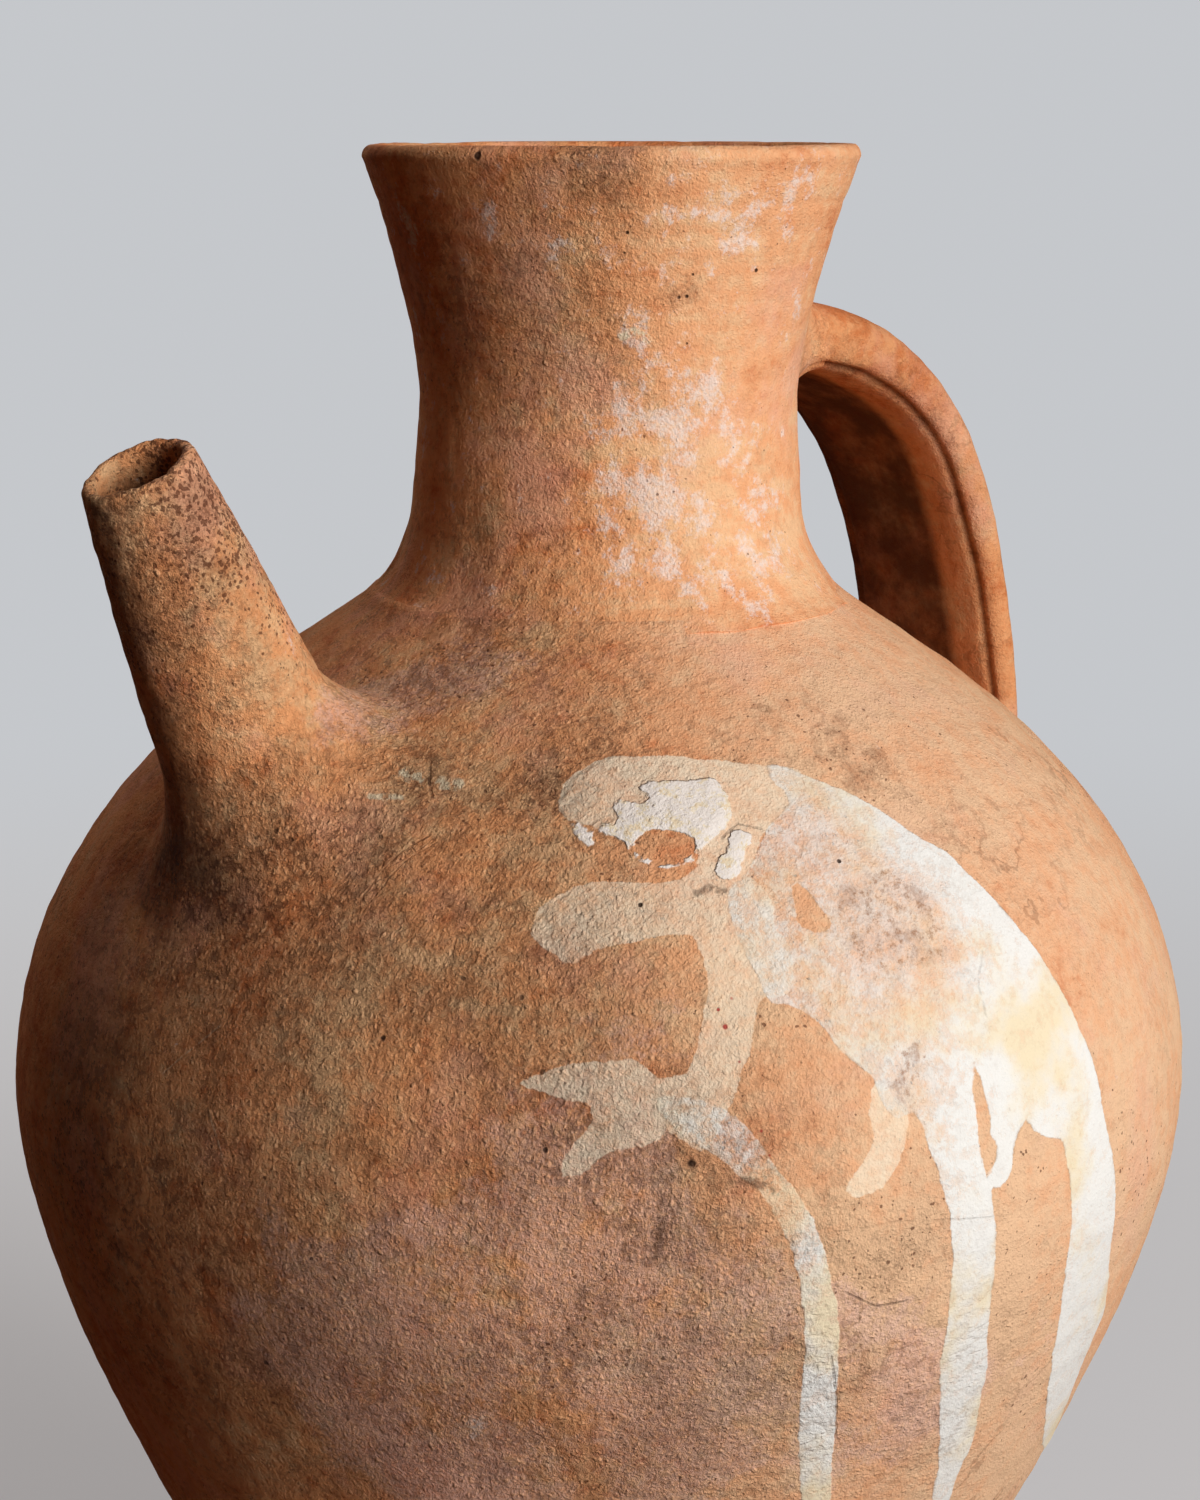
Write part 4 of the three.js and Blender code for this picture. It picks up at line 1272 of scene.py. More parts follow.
# %% The neck's smeared foot
NECK_AROUND = 440
SKIRT_TOP = 352.0
SKIRT_STEPS = 22
JOINT_LEFT = [(372, 590), (385, 603), (418, 613), (443, 617), (470, 622)]
JOINT_RIGHT = [(690, 634), (705, 633), (736, 632.5), (764, 627), (786, 624), (809, 619),
               (827, 614), (841, 605)]
SMEAR_DOWN = 8.5  # how far below the seat the smear ends
SMEAR_FEATHER = 0.5  # how far its edge dives under the shoulder's surface
LEDGE = 0.95  # how far the edge is lifted where the joint shows fully
NECK_RIPPLE, NECK_PITCH = 0.035, 7.0
PRESSED = 0.25  # depth of the thumb's marks
camera_turn = math.atan2(toward[1], toward[0])
neck_turn = np.linspace(0, 2 * math.pi, NECK_AROUND, endpoint=False)
neck_way = np.column_stack([np.cos(neck_turn), np.sin(neck_turn)])
from_camera = wrapped(neck_turn - camera_turn)
seat_up = whole_wall.up_the_wall(seat["height"] - 0.05)

ring = np.column_stack([neck_way, 0 * neck_turn])
smear_at = seat_up - SMEAR_DOWN + 2.2 * clay_noise(ring, 0.55, 91)
ledge = np.zeros(NECK_AROUND)
for joint, shown in ((JOINT_LEFT, 0.4), (JOINT_RIGHT, 1.1)):
    traced = unrolled(joint)
    turns = wrapped(traced[:, 0] - camera_turn)
    order = np.argsort(turns)
    turns, ups = turns[order], traced[order, 1]
    inside = (soft_step(turns[0] - 0.35, turns[0] + 0.02, from_camera)
              * soft_step(turns[-1] + 0.35, turns[-1] - 0.02, from_camera))
    smear_at = smear_at * (1 - inside) + np.interp(from_camera, turns, ups) * inside
    ledge = np.maximum(ledge, inside**3 * shown * (0.75 + 0.5 * clay_noise(ring, 0.12, 92)))
    print("the joint shows", round(float(seat_up - ups.max()), 1), "to",
          round(float(seat_up - ups.min()), 1), "mm below the seat")


def on_whole_wall(up):
    """Radius and height, run and outward direction of the ideal wall, at distances up it."""
    line, out = whole_wall.line, whole_wall.out
    place = np.column_stack([np.interp(up, whole_wall.length, line[:, k]) for k in (0, 1)])
    around = [up - 1.5, up, up + 1.5]
    facing = sum(np.column_stack([np.interp(a, whole_wall.length, out[:, k]) for k in (0, 1)])
                 for a in around)
    facing /= np.linalg.norm(facing, axis=1)[:, None]
    return place, np.column_stack([-facing[:, 1], facing[:, 0]]), facing


edge, edge_run, edge_out = on_whole_wall(smear_at)
edge = edge + edge_out * (ledge * LEDGE - SMEAR_FEATHER)[:, None]
top_up = np.full(NECK_AROUND, whole_wall.up_the_wall(SKIRT_TOP))
skirt_top, skirt_top_run, skirt_top_out = on_whole_wall(top_up)
chord = np.linalg.norm(skirt_top - edge, axis=1)[:, None]
skirt_rows, skirt_outs = [], []
for s in np.linspace(0, 1, SKIRT_STEPS):
    flat = ((2 * s**3 - 3 * s**2 + 1) * edge + (s**3 - 2 * s**2 + s) * chord * edge_run
            + (3 * s**2 - 2 * s**3) * skirt_top + (s**3 - s**2) * chord * skirt_top_run)
    out = (1 - s) * edge_out + s * skirt_top_out
    out /= np.linalg.norm(out, axis=1)[:, None]
    row = np.column_stack([neck_way * flat[:, :1], flat[:, 1]])
    out = np.column_stack([neck_way * out[:, :1], out[:, 1]])
    worked = (1 - s) * handwork(row, BODY_RIPPLE) + s * handwork(row, NECK_RIPPLE, NECK_PITCH)
    pressed = PRESSED * math.sin(math.pi * s) * clay_noise(row, 16, 93)
    skirt_rows.append(row + out * (worked + pressed)[:, None])
    skirt_outs.append(out)
under_edge = skirt_rows[0] - skirt_outs[0] * 1.2
skirt_rows = np.array([under_edge] + skirt_rows[:-1])
skirt_outs = np.array([skirt_outs[0]] + skirt_outs[:-1])

# %% [markdown]
# The rest of the neck is one turned section: up the outside, over the lip and down the bore.

# %% Neck
NECK_SPACING = 1.15
# Each is so far below the rim, so deep and so wide. The negative one is a swelling.
GROOVES = [(5.0, 0.12, 1.0), (13.6, 0.20, 0.9), (20.5, 0.10, 1.2), (80.0, -1.1, 13.0)]
bore_radius = waist["radius"] - neck["wall"]
spigot_outer = neck_hole["radius"] - 0.3
spigot_inner = spigot_outer - neck["spigot_wall"]
lip_middle = lip_point - (neck["wall"] / 2, 0)
lip_round = np.array([lip_middle + along(angle, neck["wall"] / 2) for angle in range(12, 180, 12)])
neck_high = neck_outline[neck_outline[:, 1] > waist["height"]] - (neck["wall"], 0)
bore_low = bezier([(bore_radius, waist["height"]),
                   (bore_radius, waist["height"] - waist["bore_pull"]),
                   (spigot_inner, neck_hole["ring_height"] + waist["bore_pull"]),
                   (spigot_inner, neck_hole["ring_height"])], 30)
spigot = [(spigot_outer, neck_hole["ring_height"]), (spigot_outer, seat["height"] + 0.1),
          (neck["foot_radius"] - 3, seat["height"] + 0.1)]
neck_section = np.vstack([
    spigot,
    evenly(neck_outline[neck_outline[:, 1] > SKIRT_TOP], NECK_SPACING),
    lip_round,
    evenly(neck_high, 1.8)[::-1],
    bore_low[1:],
])
neck_rows, neck_outs = turned_rows(neck_section, NECK_AROUND)
neck_outs[:len(spigot)] = 0
neck_outs[len(spigot)] = neck_outs[len(spigot) + 1]
neck_rows = work_the_wall(neck_rows, neck_outs, NECK_RIPPLE, NECK_PITCH)
neck_rows = np.concatenate([neck_rows[:len(spigot)], skirt_rows, neck_rows[len(spigot):]])
neck_outs = np.concatenate([neck_outs[:len(spigot)], skirt_outs, neck_outs[len(spigot):]])
below_rim = rim["height"] - neck_rows[..., 2]
outside = neck_outs[..., 0] * neck_rows[..., 0] + neck_outs[..., 1] * neck_rows[..., 1] > 0
for below, depth, width in GROOVES:
    dent = depth * np.exp(-((below_rim - below) / width) ** 2) * outside
    neck_rows -= neck_outs * dent[..., None]
rim_wave = 0.30 * clay_noise(neck_rows.reshape(-1, 3), 30, 94).reshape(neck_rows.shape[:2])
neck_rows[..., 2] -= rim_wave * soft_step(6.0, 0.0, below_rim)
neck_rows[..., 2] = np.minimum(neck_rows[..., 2], rim["height"])
neck_mesh, neck_points = closed_mesh("flaring_neck", neck_rows, ring=True)
mark_clay(neck_mesh, wall_marks(neck_points, NECK_LINES))
add_piece("flaring_neck", neck_mesh, ["neck"], neck_clay)

# %% [markdown]
# ## The spout
#
# The spout is a small tapered tube, pulled apart and set on the shoulder at a lean. It is drawn
# upright on its own axis and then leaned. Its lower end follows the shoulder and stops just inside
# the clay.

# %% Spout
spout = {"root_height": 296, "lean": 24.6, "length": 83.8, "mouth_radius": 12.9, "root_radius": 22}
tube = {"middle_radius": 18.4, "middle_place": 45, "wall": 3.0}
STEM_AROUND = 160  # points round a spout or a strap
SUNK = 2.5  # how deep a luted piece goes into the wall
ROOT_FLARE = 0.05  # how fast the tube widens below its root
spout_axis = np.array([-math.sin(math.radians(spout["lean"])), 0,
                       math.cos(math.radians(spout["lean"]))])
spout_side = np.array([spout_axis[2], 0, -spout_axis[0]])
spout_root = np.array([-shoulder_wall.radius(spout["root_height"]), 0, spout["root_height"]])
tube_line = bezier([(spout["root_radius"], 0), (tube["middle_radius"], tube["middle_place"]),
                    (spout["mouth_radius"], spout["length"] - tube["wall"] / 2)], FINE)
spout_turn = np.linspace(0, 2 * math.pi, STEM_AROUND, endpoint=False)
spout_out = np.cos(spout_turn)[:, None] * spout_side + np.sin(spout_turn)[:, None] * [0, 1, 0]


def on_tube(height, inset=0.0):
    """A ring of points on the spout's tube, at heights given for each of them."""
    radius = np.interp(height, tube_line[:, 1], tube_line[:, 0]) - inset
    radius = radius + np.minimum(height, 0) * -ROOT_FLARE
    return spout_root + height[:, None] * spout_axis + radius[:, None] * spout_out


def meets_wall(line_at, wall_form, low, high, depth):
    """For each line that leaves a wall, the value at which it is a depth inside it."""
    low, high = np.full(STEM_AROUND, float(low)), np.full(STEM_AROUND, float(high))
    for _ in range(30):
        middle = (low + high) / 2
        deeper = wall_form.stands_off(line_at(middle)) < -depth
        low, high = np.where(deeper, middle, low), np.where(deeper, high, middle)
    return (low + high) / 2


def stem_to_wall(lines_from, wall_form, low, high):
    """Where each line of a stem enters the wall, and the wall's outward direction there."""
    meet = meets_wall(lines_from, wall_form, low, high, 0)
    corner = lines_from(meet)
    return meet, corner, wall_form.nearest(corner)[1]


# %% [markdown]
# The mouth isn't square to the tube, and its lip is thin, chipped and a little wavy. The spout
# stands clear of the wall, so its marks are measured from the line of sight instead.

# %% Spout mesh
# Grime, and painted shade on the spout's left side and under its foot
SPOUT_GRIME_AND_SHADE = [(115, 578, 5, 1.0), (128, 640, 6, 0.7), (103, 520, 5, 0.9), (168, 700, 8, 0.5),
               (150, 610, 8, 0.5), (190, 790, 10, 0.7), (140, 500, 6, 0.4), (165, 467, 2, 1.0),
               (185, 845, 9, 1.0), (210, 560, 4, 0.5), (225, 700, 5, 0.4),
               (190, 500, 8, 0.6), (150, 540, 9, 0.5), (195, 580, 9, 0.5), (175, 640, 9, 0.4)]
SPOUT_BLOOM = [(138, 482, 1.6, 1.0), (272, 640, 4, 0.7), (165, 690, 4, 0.6), (292, 655, 3, 0.7)]


def ray_marks(points, marks):
    """Soft marks on a piece that stands clear of the wall."""
    from_eye = lean(points) - camera_place / MM
    total = np.zeros(len(points))
    for across, down, spread, strength in marks:
        reach = from_eye @ sight(across, down)
        gap = (from_eye**2).sum(1) - reach**2
        total += strength * np.exp(-gap / spread**2)
    return np.clip(total, 0, 1)


MOUTH_TILT = 0.55  # higher on the side near the neck
LIP_WALL = 3.0
LIP_WAVE, LIP_CHIPS, LIP_LOWERED = 0.7, 0.3, 0.5
# Painted shade in the spout's bore
BORE_SHADE, BORE_SHADE_STARTS = 0.75, 9  # how dark the bore gets, within how many rows
outer_steps, bore_steps = 105, 60
root_height = meets_wall(on_tube, shoulder_wall, -40.0, 60.0, SUNK)
lip_ring = np.column_stack([spout_out[:, 0], spout_out[:, 1], spout_turn * 0])
lip_wave = clay_noise(lip_ring * 20, 9, 31)
chipped = clay_noise(spout_out * 20, 2.6, 34)
mouth_height = (spout["length"] + MOUTH_TILT * np.cos(spout_turn) + LIP_WAVE * lip_wave
                + LIP_CHIPS * chipped - LIP_LOWERED)
outer_top = mouth_height - LIP_WALL / 2


def tube_row(height, inset):
    row = on_tube(height, inset)
    lumps = 0.28 * clay_noise(row, 7, 32) + 0.14 * clay_noise(row, 3.2, 33) + 0.25
    return row + spout_out * (0.8 * handwork(row, 0.05) + lumps)[:, None]


def spout_skin(height):
    return tube_row(height, 0)


spout_rows = [tube_row(root_height + (outer_top - root_height) * k / outer_steps, 0)
              for k in range(outer_steps + 1)]
for angle in range(20, 180, 20):
    turn = math.radians(angle)
    spout_rows.append(tube_row(outer_top + math.sin(turn) * LIP_WALL / 2,
                               LIP_WALL / 2 * (1 - math.cos(turn))))
for k in range(bore_steps, -1, -1):
    share = k / bore_steps
    inset = LIP_WALL + (tube["wall"] + 0.6 - LIP_WALL) * (1 - share) ** 0.3
    spout_rows.append(tube_row(root_height + (outer_top - root_height) * share, inset))
spout_mesh, spout_points = closed_mesh("pouring_spout", np.array(spout_rows), ring=True)
in_bore = np.zeros((len(spout_rows), STEM_AROUND))
bore_rows = np.arange(bore_steps + 1)
in_bore[-bore_steps - 1:] = soft_step(0, BORE_SHADE_STARTS, bore_rows)[:, None] * BORE_SHADE
mark_clay(spout_mesh, {"grime_and_shade": ray_marks(spout_points, SPOUT_GRIME_AND_SHADE), "soot_and_shade": in_bore.ravel(),
                       "bloom": ray_marks(spout_points, SPOUT_BLOOM)})
add_piece("pouring_spout", spout_mesh, ["spout"], spout_clay)

# %% [markdown]
# ## Luting
#
# Soft clay is worked into the corner between a piece and the wall until both run into each other.
# Seen in section that is a hollow curve, tangent to the stem at one end and to the wall at the
# other. A Hermite curve has exactly those handles. Its top starts from the stem's own worked skin
# and its foot from the worked wall, so that no crease shows. The ring is closed inside the clay, out
# of sight, and both of its feathered edges start a hair under the surface. Fingers that went round
# the stem can leave fine rings on the lower half.

# %% Luting maker
FEATHER = 0.15  # how far the feathered edges start under the surface
LUTING_STEPS = 64
RINGS_APART = 1.9
RINGS_AT, RINGS_SPREAD = 0.74, 0.16  # as shares of the way from the top to the foot
BURIED_BACK = 3  # how deep inside the clay the ring is closed


def luting_rows(lines_from, outs, toward_wall, wall_form, low, high, climb, spread, dents=0.35,
                fullness=0.3, rings=0.0):
    """Rows of a fillet between a stem and a wall, closed inside the clay."""
    meet, corner, wall_out = stem_to_wall(lines_from, wall_form, low, high)
    facing = np.maximum((outs * wall_out).sum(1), 0)[:, None]
    away = outs + facing * 1.2 * toward_wall
    foot, foot_out, _ = wall_form.nearest(corner + spread[:, None] * away)
    foot_way = unit(away - (away * foot_out).sum(1)[:, None] * foot_out)
    top = lines_from(meet + climb)
    top_way = unit(lines_from(meet) - top)
    top = top - outs * FEATHER
    foot = foot + foot_out * (handwork(foot, 0.1) - FEATHER)[:, None]
    reach = np.linalg.norm(foot - top, axis=1)[:, None]
    rows = []
    for s in np.linspace(0, 1, LUTING_STEPS):
        line = ((2 * s**3 - 3 * s**2 + 1) * top + (s**3 - 2 * s**2 + s) * reach * top_way
                + (3 * s**2 - 2 * s**3) * foot + (s**3 - s**2) * reach * foot_way)
        out = unit((1 - s) * outs + s * foot_out)
        hump = math.sin(math.pi * s)
        worked = 0.6 * clay_noise(line, 13, 41) + 0.25 * clay_noise(line, 5, 42)
        ridges = np.sin(reach[:, 0] * s * (2 * math.pi / RINGS_APART))
        ridges = rings * math.exp(-((s - RINGS_AT) / RINGS_SPREAD) ** 2) * ridges
        rows.append(line + out * (hump * (dents * worked + fullness) + ridges)[:, None])
    rows.append(foot - foot_out * BURIED_BACK)
    rows.append(corner - wall_out * BURIED_BACK - outs * 1.6)
    rows.append(top - outs * 1.0)
    return np.array(rows)


def around_noise(outs, seed):
    """Slow unevenness round a stem."""
    return clay_noise(outs, 0.9, seed)


# %% [markdown]
# The clay under the spout was wiped out flat over the shoulder with the fingers, most of all towards
# the front and towards the viewer. In the narrow corner towards the neck there is less of it. This
# clay stands clear of the wall, so each point takes the marks of the place on the wall that the
# camera sees behind it. Then a stain or a scratch runs on from one piece to the other.

# %% Spout luting
SEEN_BEHIND = 40.0  # how far behind a point the wall is looked for


def behind(points):
    """The places on the ideal wall that the camera sees through points that stand before it."""
    way = unit(lean(points) - camera_place / MM)
    found = points.copy()
    for step in np.arange(SEEN_BEHIND, -0.5, -0.5):
        place = points + way * step
        inside = np.hypot(place[:, 0], place[:, 1]) < whole_wall.radius(place[:, 2])
        found[inside] = place[inside]
    return found


wiped = np.exp(-(wrapped(spout_turn + math.radians(60)) / math.radians(38)) ** 2)
spout_climb = (21 - 3 * np.cos(spout_turn) - 3 * np.sin(spout_turn)
               + 3 * around_noise(spout_out, 51))
spout_spread = (15 - 5 * np.cos(spout_turn) - 4 * np.sin(spout_turn) + 6 * wiped
                + 2.5 * around_noise(spout_out, 52))
ringed = 0.16 * np.exp(-(wrapped(spout_turn + math.radians(35)) / math.radians(22)) ** 2)
spout_luting_rows = luting_rows(spout_skin, spout_out, -spout_axis, shoulder_wall, -40.0, 60.0,
                                spout_climb, spout_spread, dents=0.6, fullness=0.5, rings=ringed)
luting_mesh, luting_points = closed_mesh("spout_luting", spout_luting_rows, ring=True)
mark_clay(luting_mesh, wall_marks(behind(luting_points), BODY_LINES))
add_piece("spout_luting", luting_mesh, ["spout_collar"], luting_clay)

# %% [markdown]
# ## The handle
#
# The handle is a pulled strap: wet clay stroked down between the fingers until it is a flat ribbon
# with soft edges, then arched from the neck to the shoulder. A rolled-over seam shows along each
# edge of its inner face.

# %% Handle
strap = {"width": 52, "thickness": 12, "squareness": 3.0}
strap_upper = {"height": 392, "pull": 68, "depth": 1.5}
strap_lower = {"height": 230, "pull": 111, "drift": 3.9, "depth": 8.8}
BURIED_MARGIN = 3
STRAP_STEPS = 230


def buried(radius, depth):
    """Where the strap's middle line starts behind a round wall, so that its whole width is in."""
    half_width = strap["width"] / 2 + BURIED_MARGIN
    return math.sqrt(radius**2 - half_width**2) - depth


strap_start = (buried(neck_wall.radius(strap_upper["height"]), strap_upper["depth"]),
               strap_upper["height"])
strap_end = (buried(shoulder_wall.radius(strap_lower["height"]), strap_lower["depth"]),
             strap_lower["height"])
strap_path = evenly(bezier([
    strap_start,
    (strap_start[0] + strap_upper["pull"], strap_start[1]),
    (strap_end[0] - strap_lower["drift"], strap_end[1] + strap_lower["pull"]),
    strap_end,
], FINE), 0.8)
path_run = np.gradient(strap_path, axis=0)
path_run /= np.linalg.norm(path_run, axis=1)[:, None]
path_gone = np.append(0, np.cumsum(np.linalg.norm(np.diff(strap_path, axis=0), axis=1)))
strap_length = path_gone[-1]

section_turn = np.linspace(0, 2 * math.pi, 721)
rounding = 2 / strap["squareness"]
section_line = np.column_stack([
    np.sign(np.cos(section_turn)) * np.abs(np.cos(section_turn)) ** rounding * strap["width"] / 2,
    np.sign(np.sin(section_turn)) * np.abs(np.sin(section_turn)) ** rounding
    * strap["thickness"] / 2])
section_gone = np.append(0, np.cumsum(np.linalg.norm(np.diff(section_line, axis=0), axis=1)))
section_at = np.linspace(0, section_gone[-1], STEM_AROUND, endpoint=False)
section = np.stack([np.interp(section_at, section_gone, c) for c in section_line.T], axis=1)
section_run = np.roll(section, -1, axis=0) - np.roll(section, 1, axis=0)
section_run /= np.linalg.norm(section_run, axis=1)[:, None]
section_out = np.column_stack([section_run[:, 1], -section_run[:, 0]])


def strap_frames(gone):
    """Middle points and outward directions of the strap, at lengths along it."""
    middle = np.stack([np.interp(gone, path_gone, c) for c in strap_path.T], axis=1)
    run = np.stack([np.interp(gone, path_gone, c) for c in path_run.T], axis=1)
    middle = np.column_stack([middle[:, 0], 0 * gone, middle[:, 1]])
    return middle, np.column_stack([-run[:, 1], 0 * gone, run[:, 0]])


def strap_outs(gone):
    _, outward = strap_frames(gone)
    return unit(section_out[:, :1] * [[0, 1, 0]] + section_out[:, 1:] * outward)


def on_strap(gone):
    """A ring of points on the strap, at a length along it for each of them."""
    middle, outward = strap_frames(gone)
    return middle + section[:, :1] * [[0, 1, 0]] + section[:, 1:] * outward


def on_strap_from_below(back):
    return on_strap(strap_length - back)


SEAM_PLACE, SEAM_WIDTH, SEAM_DEPTH = 22.6, 1.1, 1.0
# The strap is thicker where it bends: lengths along it, and what is added outside and inside.
FULL_AT = [0, 16, 24, 40, 56, 80, 96, 112, 136, 160]
FULL_OUTSIDE = [2.4, 3.8, 3.7, 3.4, 2.9, 2.2, 1.8, 1.4, 1.1, 0.9]
FULL_INSIDE = [0.5, 2.0, 2.5, 2.5, 1.5, 0.3, 0.0, 0.0, 0.0, 0.0]
start_gone = meets_wall(on_strap, neck_wall, 0.0, strap_length * 0.4, SUNK)
end_gone = strap_length - meets_wall(on_strap_from_below, shoulder_wall, 0.0,
                                     strap_length * 0.5, SUNK)
# Grime, and painted shade in the creases round the handle's upper end
HANDLE_GRIME_AND_SHADE = [(948, 444, 3, 0.9), (905, 380, 5, 0.6), (850, 372, 6, 0.6), (930, 420, 5, 0.4)]
# Soot everywhere; more soot and painted shade on the inner face, and most painted shade on its far
# part and in the seams
SOOT_ALL, INNER_SOOT_AND_SHADE, INNER_PAINTED_SHADE, SEAM_PAINTED_SHADE = 0.20, 0.08, 0.76, 0.55
PALM_HOLLOW, PALM_WIDTH = 0.9, 13
inner_face = soft_step(0.0, -2.0, section[:, 1])
half_height = section[:, 1] / (strap["thickness"] / 2)  # 1 on the outer face, -1 on the inner one


def worked_strap(gone):
    """A ring of points on the strap as the hands left it, and its soot and painted shade."""
    row, outs = on_strap(gone), strap_outs(gone)
    waver = 1.4 * clay_noise(row * (1, 0, 1) + (0, 5, 0), 35, 61)
    seam = np.exp(-((np.abs(section[:, 0]) - SEAM_PLACE - waver) / SEAM_WIDTH) ** 2) * inner_face
    hollow = PALM_HOLLOW * np.exp(-(section[:, 0] / PALM_WIDTH) ** 2) * inner_face
    swell = (0.4 * clay_noise(row, 38, 62)
             + np.interp(gone, FULL_AT, FULL_OUTSIDE) * soft_step(-0.3, 0.9, half_height)
             + np.interp(gone, FULL_AT, FULL_INSIDE) * soft_step(0.3, -0.9, half_height))
    shaded = soft_step(-14.0, -8.0, section[:, 0] + 2 * waver)
    soot_and_shade = SOOT_ALL + inner_face * (INNER_SOOT_AND_SHADE + INNER_PAINTED_SHADE * shaded) + SEAM_PAINTED_SHADE * seam
    out_by = handwork(row, 0.0) + swell - SEAM_DEPTH * seam - hollow
    return row + outs * out_by[:, None], np.clip(soot_and_shade, 0, 1)


def strap_skin(gone):
    return worked_strap(gone)[0]


def strap_skin_from_below(back):
    return strap_skin(strap_length - back)


strap_rows, soot_and_shade_rows = [], []
for k in range(STRAP_STEPS + 1):
    row, soot_and_shade = worked_strap(start_gone + (end_gone - start_gone) * k / STRAP_STEPS)
    strap_rows.append(row)
    soot_and_shade_rows.append(soot_and_shade)
strap_rows = np.array(strap_rows)
tips = []
for row, form in ((strap_rows[0], neck_wall), (strap_rows[-1], shoulder_wall)):
    place, out, _ = form.nearest(row.mean(0)[None])
    tips.append((place - out * (SUNK + 0.7))[0])
handle_mesh, handle_points = closed_mesh("strap_handle", strap_rows, ring=False, tips=tips)
mark_clay(handle_mesh, {"soot_and_shade": np.array(soot_and_shade_rows).ravel(),
                        "grime_and_shade": ray_marks(handle_points, HANDLE_GRIME_AND_SHADE)})
add_piece("strap_handle", handle_mesh, ["handle"], handle_clay)

# %% [markdown]
# The two ends of the handle are luted on like the spout. More clay sits under the upper end, where
# the handle pulls on the neck.

# %% Handle lutings
upper_outs = strap_outs(np.full(STEM_AROUND, 4.0))
upper_climb = 12 - 4 * half_height + 2 * around_noise(upper_outs, 53)
upper_spread = 8.0 - 4.0 * half_height + 1.5 * around_noise(upper_outs, 54)
upper_rows = luting_rows(strap_skin, upper_outs, np.array([-1, 0, 0]), neck_wall, 0.0,
                         strap_length * 0.4, upper_climb, upper_spread)
upper_mesh, _ = closed_mesh("upper_handle_luting", upper_rows, ring=True)
mark_clay(upper_mesh, {})
add_piece("upper_handle_luting", upper_mesh, ["handle_upper_wad"], luting_clay)

lower_outs = strap_outs(np.full(STEM_AROUND, strap_length - 10.0))
lower_climb = 18 + 3 * around_noise(lower_outs, 55)
lower_spread = 9 + 2 * around_noise(lower_outs, 56)
lower_rows = luting_rows(strap_skin_from_below, lower_outs, np.array([0, 0, -1]), shoulder_wall,
                         0.0, strap_length * 0.5, lower_climb, lower_spread)
lower_mesh, _ = closed_mesh("lower_handle_luting", lower_rows, ring=True)
mark_clay(lower_mesh, {})
add_piece("lower_handle_luting", lower_mesh, ["handle_lower_wad"], luting_clay)

# %% [markdown]
# ## The coils inside
#
# Two coils are pressed over the joints from the inside: one over the seam at the girth, one in the
# corner under the neck. They are half round and dented where the fingers pressed.

# %% Inside coils
COIL_AROUND = 260


def coil(name, node, centre, radius, start_angle):
    half = [np.array(centre) + along(start_angle + angle, radius) for angle in range(0, 181, 12)]
    flat = evenly([half[-1], half[0]], 2)[1:-1]
    rows, outs = turned_rows(np.vstack([half, flat]), COIL_AROUND)
    points, out = rows.reshape(-1, 3), outs.reshape(-1, 3)
    pressed = 0.5 * clay_noise(points, 14, 71) + 0.25 * clay_noise(points, 6, 72)
    free = np.repeat(np.append(np.ones(len(half)), np.zeros(len(flat))), COIL_AROUND)
    rows = (points + out * (pressed * free)[:, None]).reshape(rows.shape)
    mesh, _ = closed_mesh(name, rows, ring=True)
    mark_clay(mesh, {})
    add_piece(name, mesh, [node], luting_clay)


coil("girth_seam_coil", "girth_coil", (inner_girth - 0.3, tongue_top), 5, 90)
coil("neck_seam_coil", "neck_coil", (neck_hole["radius"], neck_hole["ring_height"] - 0.3), 4.5, 180)

# %% [markdown]
# ## The hole under the spout
#
# The potter cuts one round hole before the spout goes on. Here a drill, a short cylinder along the
# spout's axis, is taken out of the shoulder and thrown away.

# %% Drill the spout hole
HOLE_RADIUS, DRILL_REACH = 14, 40
hole_turn = np.linspace(0, 2 * math.pi, 64, endpoint=False)
hole_ring = (np.cos(hole_turn)[:, None] * spout_side + np.sin(hole_turn)[:, None] * [0, 1, 0])
drill_rows = np.array([spout_root + hole_ring * HOLE_RADIUS + spout_axis * reach
                       for reach in np.linspace(-DRILL_REACH / 2, DRILL_REACH / 2, 5)])
drill_mesh, _ = closed_mesh("drill", drill_rows, ring=False)
drill = bpy.data.objects.new("drill", drill_mesh)
bpy.context.scene.collection.objects.link(drill)
cutting = shoulder.modifiers.new("spout_hole", "BOOLEAN")
cutting.operation, cutting.object, cutting.solver = "DIFFERENCE", drill, "MANIFOLD"
bpy.context.view_layer.update()
seen = shoulder.evaluated_get(bpy.context.evaluated_depsgraph_get())
drilled = bpy.data.meshes.new_from_object(seen)
shoulder.modifiers.clear()
shoulder.data = drilled
bpy.data.objects.remove(drill)
print("shoulder after drilling:", len(drilled.polygons), "faces, marks:",
      sorted(a.name for a in drilled.attributes if a.name in ("slip", "wash", "grime_and_shade")))

# %% [markdown]
# ## Studio
#
# One large soft lamp stands low, three metres away to the camera's right, and little fills the
# shadows, so the left of the jug falls into deep warm shade as it does in the photograph. A much
# weaker lamp behind keeps the back readable. The floor is plain and pale. Further out it melts into
# the backdrop, so that no horizon shows from any side. Both are pale for the camera alone: on the
# clay they would throw a grey light into the shade.

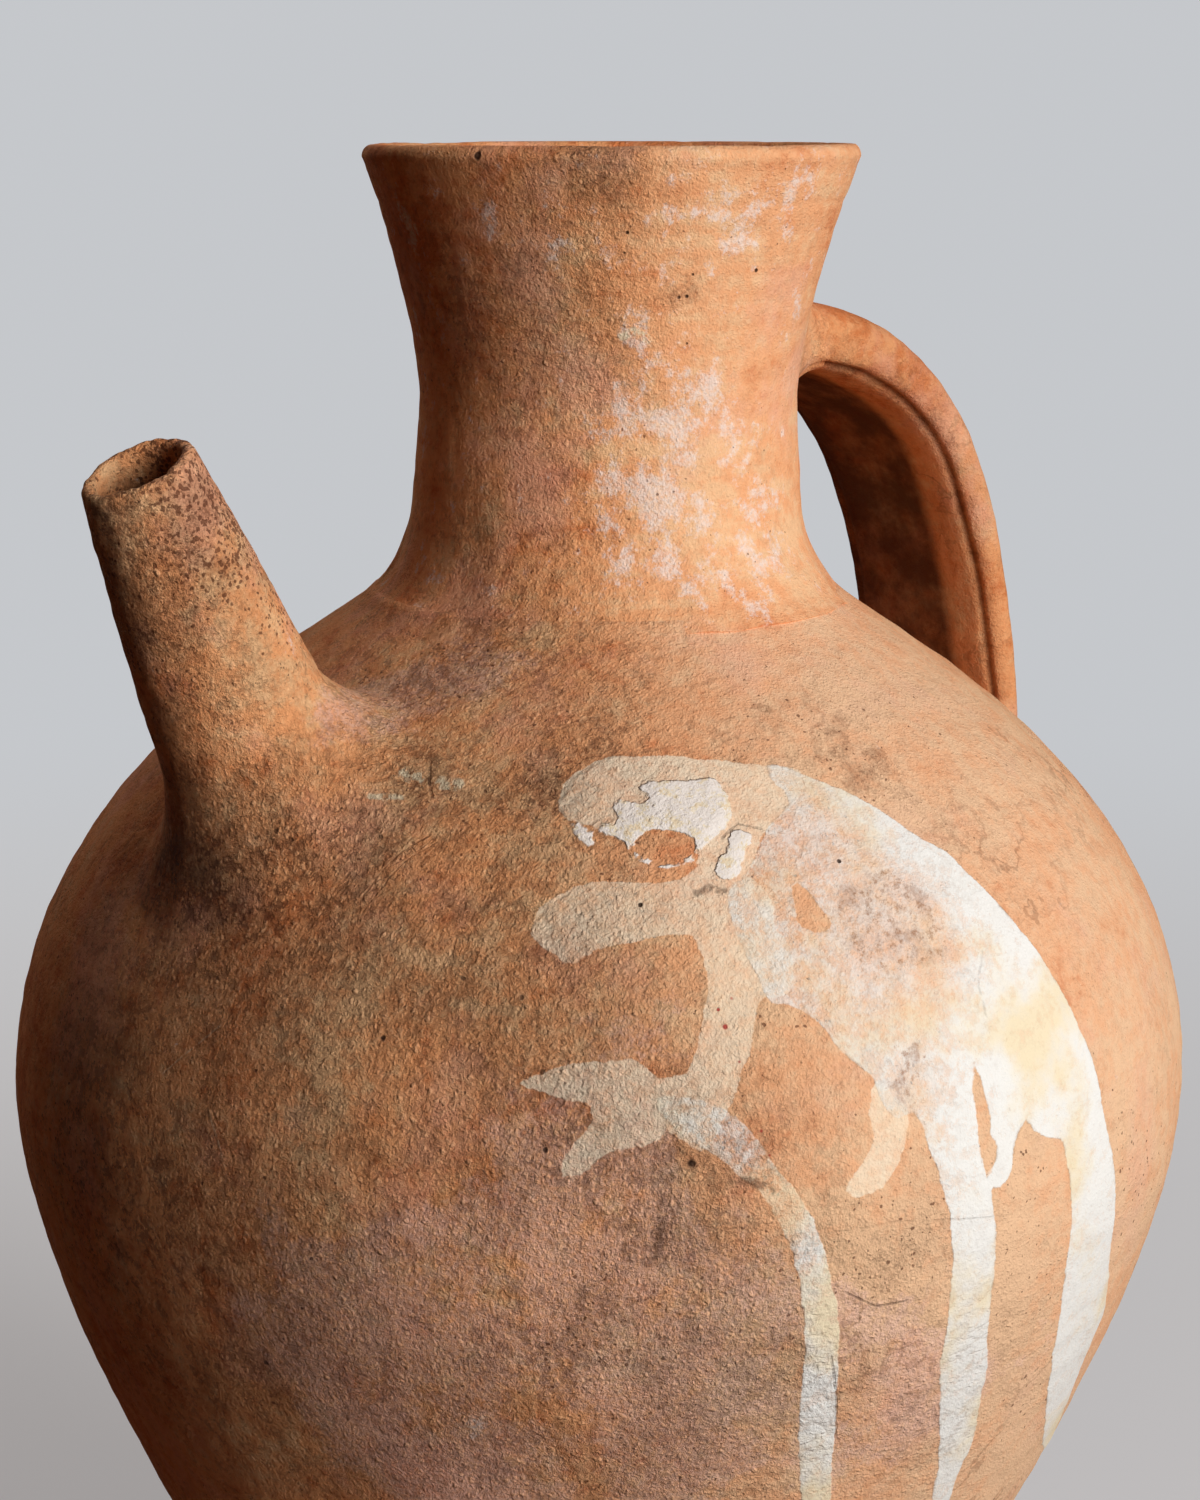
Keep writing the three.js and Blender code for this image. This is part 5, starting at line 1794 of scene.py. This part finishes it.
# %% Light and floor
BACKDROP = (0.56, 0.575, 0.60, 1.0)
FLOOR_SEEN = (0.86, 0.87, 0.89, 1.0)
FLOOR_BOUNCE = (0.16, 0.056, 0.012, 1.0)
FILL = (0.038, 0.0108, 0.0012, 1.0)
FLOOR_GLOW = 0.45  # share of the floor's look that doesn't depend on the lamp
MELT_FROM, MELT_TO = 0.2, 1.5  # metres from the jug
FLOOR_RADIUS, FLOOR_AROUND = 12, 96
LAMP_AIM = np.array([0, 0, 0.25])  # the middle of the jug


def soft_lamp(name, turn, height_angle, distance, size, watts, colour):
    """A square lamp that looks at the jug. It stands turned to the right of the camera."""
    turn, rise = math.radians(turn), math.radians(height_angle)
    way = (toward * math.cos(turn) + camera_right * math.sin(turn)) * math.cos(rise)
    way = way + np.array([0, 0, math.sin(rise)])
    data = bpy.data.lights.new(name, "AREA")
    data.size, data.energy, data.color = size, watts, colour
    lamp = bpy.data.objects.new(name, data)
    lamp.location = way * distance + LAMP_AIM
    lamp.rotation_euler = Vector(-way).to_track_quat("-Z", "Y").to_euler()
    lamp.visible_camera = False
    bpy.context.scene.collection.objects.link(lamp)
    return lamp


soft_lamp("key", turn=45, height_angle=18, distance=3.0, size=1.6, watts=101,
          colour=(1.0, 0.99, 0.985))
soft_lamp("back", turn=-158, height_angle=30, distance=1.9, size=1.2, watts=9,
          colour=(1.0, 0.82, 0.66))

world = bpy.data.worlds.new("studio")
bpy.context.scene.world = world
world.use_nodes = True
world.node_tree.nodes.clear()
b = Bench(world.node_tree)
rays = b.put("ShaderNodeLightPath").outputs
seen_plainly = b.sum("MAXIMUM", rays["Is Camera Ray"],
                     b.sum("MAXIMUM", rays["Is Glossy Ray"], rays["Is Transmission Ray"]))
sky = b.put("ShaderNodeBackground", {"Color": b.mix(seen_plainly, FILL, BACKDROP), "Strength": 1.0})
b.put("ShaderNodeOutputWorld", {"Surface": sky.outputs[0]})

floor_material = bpy.data.materials.new("pale_floor")
floor_material.use_nodes = True
floor_material.node_tree.nodes.clear()
b = Bench(floor_material.node_tree)
place = b.put("ShaderNodeTexCoord").outputs["Object"]
away = b.put("ShaderNodeVectorMath", {0: place}, operation="LENGTH").outputs["Value"]
rays = b.put("ShaderNodeLightPath").outputs
floor_colour = b.mix(rays["Is Camera Ray"], FLOOR_BOUNCE, FLOOR_SEEN)
near_floor = b.put("ShaderNodeBsdfPrincipled", {"Base Color": floor_colour, "Roughness": 0.8})
glow = b.put("ShaderNodeEmission", {"Color": BACKDROP, "Strength": rays["Is Camera Ray"]})
melted = b.step(away, MELT_FROM, MELT_TO, FLOOR_GLOW, 1.0)
melt = b.put("ShaderNodeMixShader", {0: melted, 1: near_floor.outputs[0], 2: glow.outputs[0]})
b.put("ShaderNodeOutputMaterial", {"Surface": melt.outputs[0]})
floor_turn = np.linspace(0, 2 * math.pi, FLOOR_AROUND, endpoint=False)
floor_ring = np.column_stack([np.cos(floor_turn), np.sin(floor_turn), 0 * floor_turn])
floor_mesh = bpy.data.meshes.new("floor")
floor_mesh.from_pydata((floor_ring * FLOOR_RADIUS).tolist(), [], [list(range(FLOOR_AROUND))])
floor_mesh.materials.append(floor_material)
floor = bpy.data.objects.new("floor", floor_mesh)
bpy.context.scene.collection.objects.link(floor)
bpy.context.scene.view_settings.view_transform = "Standard"
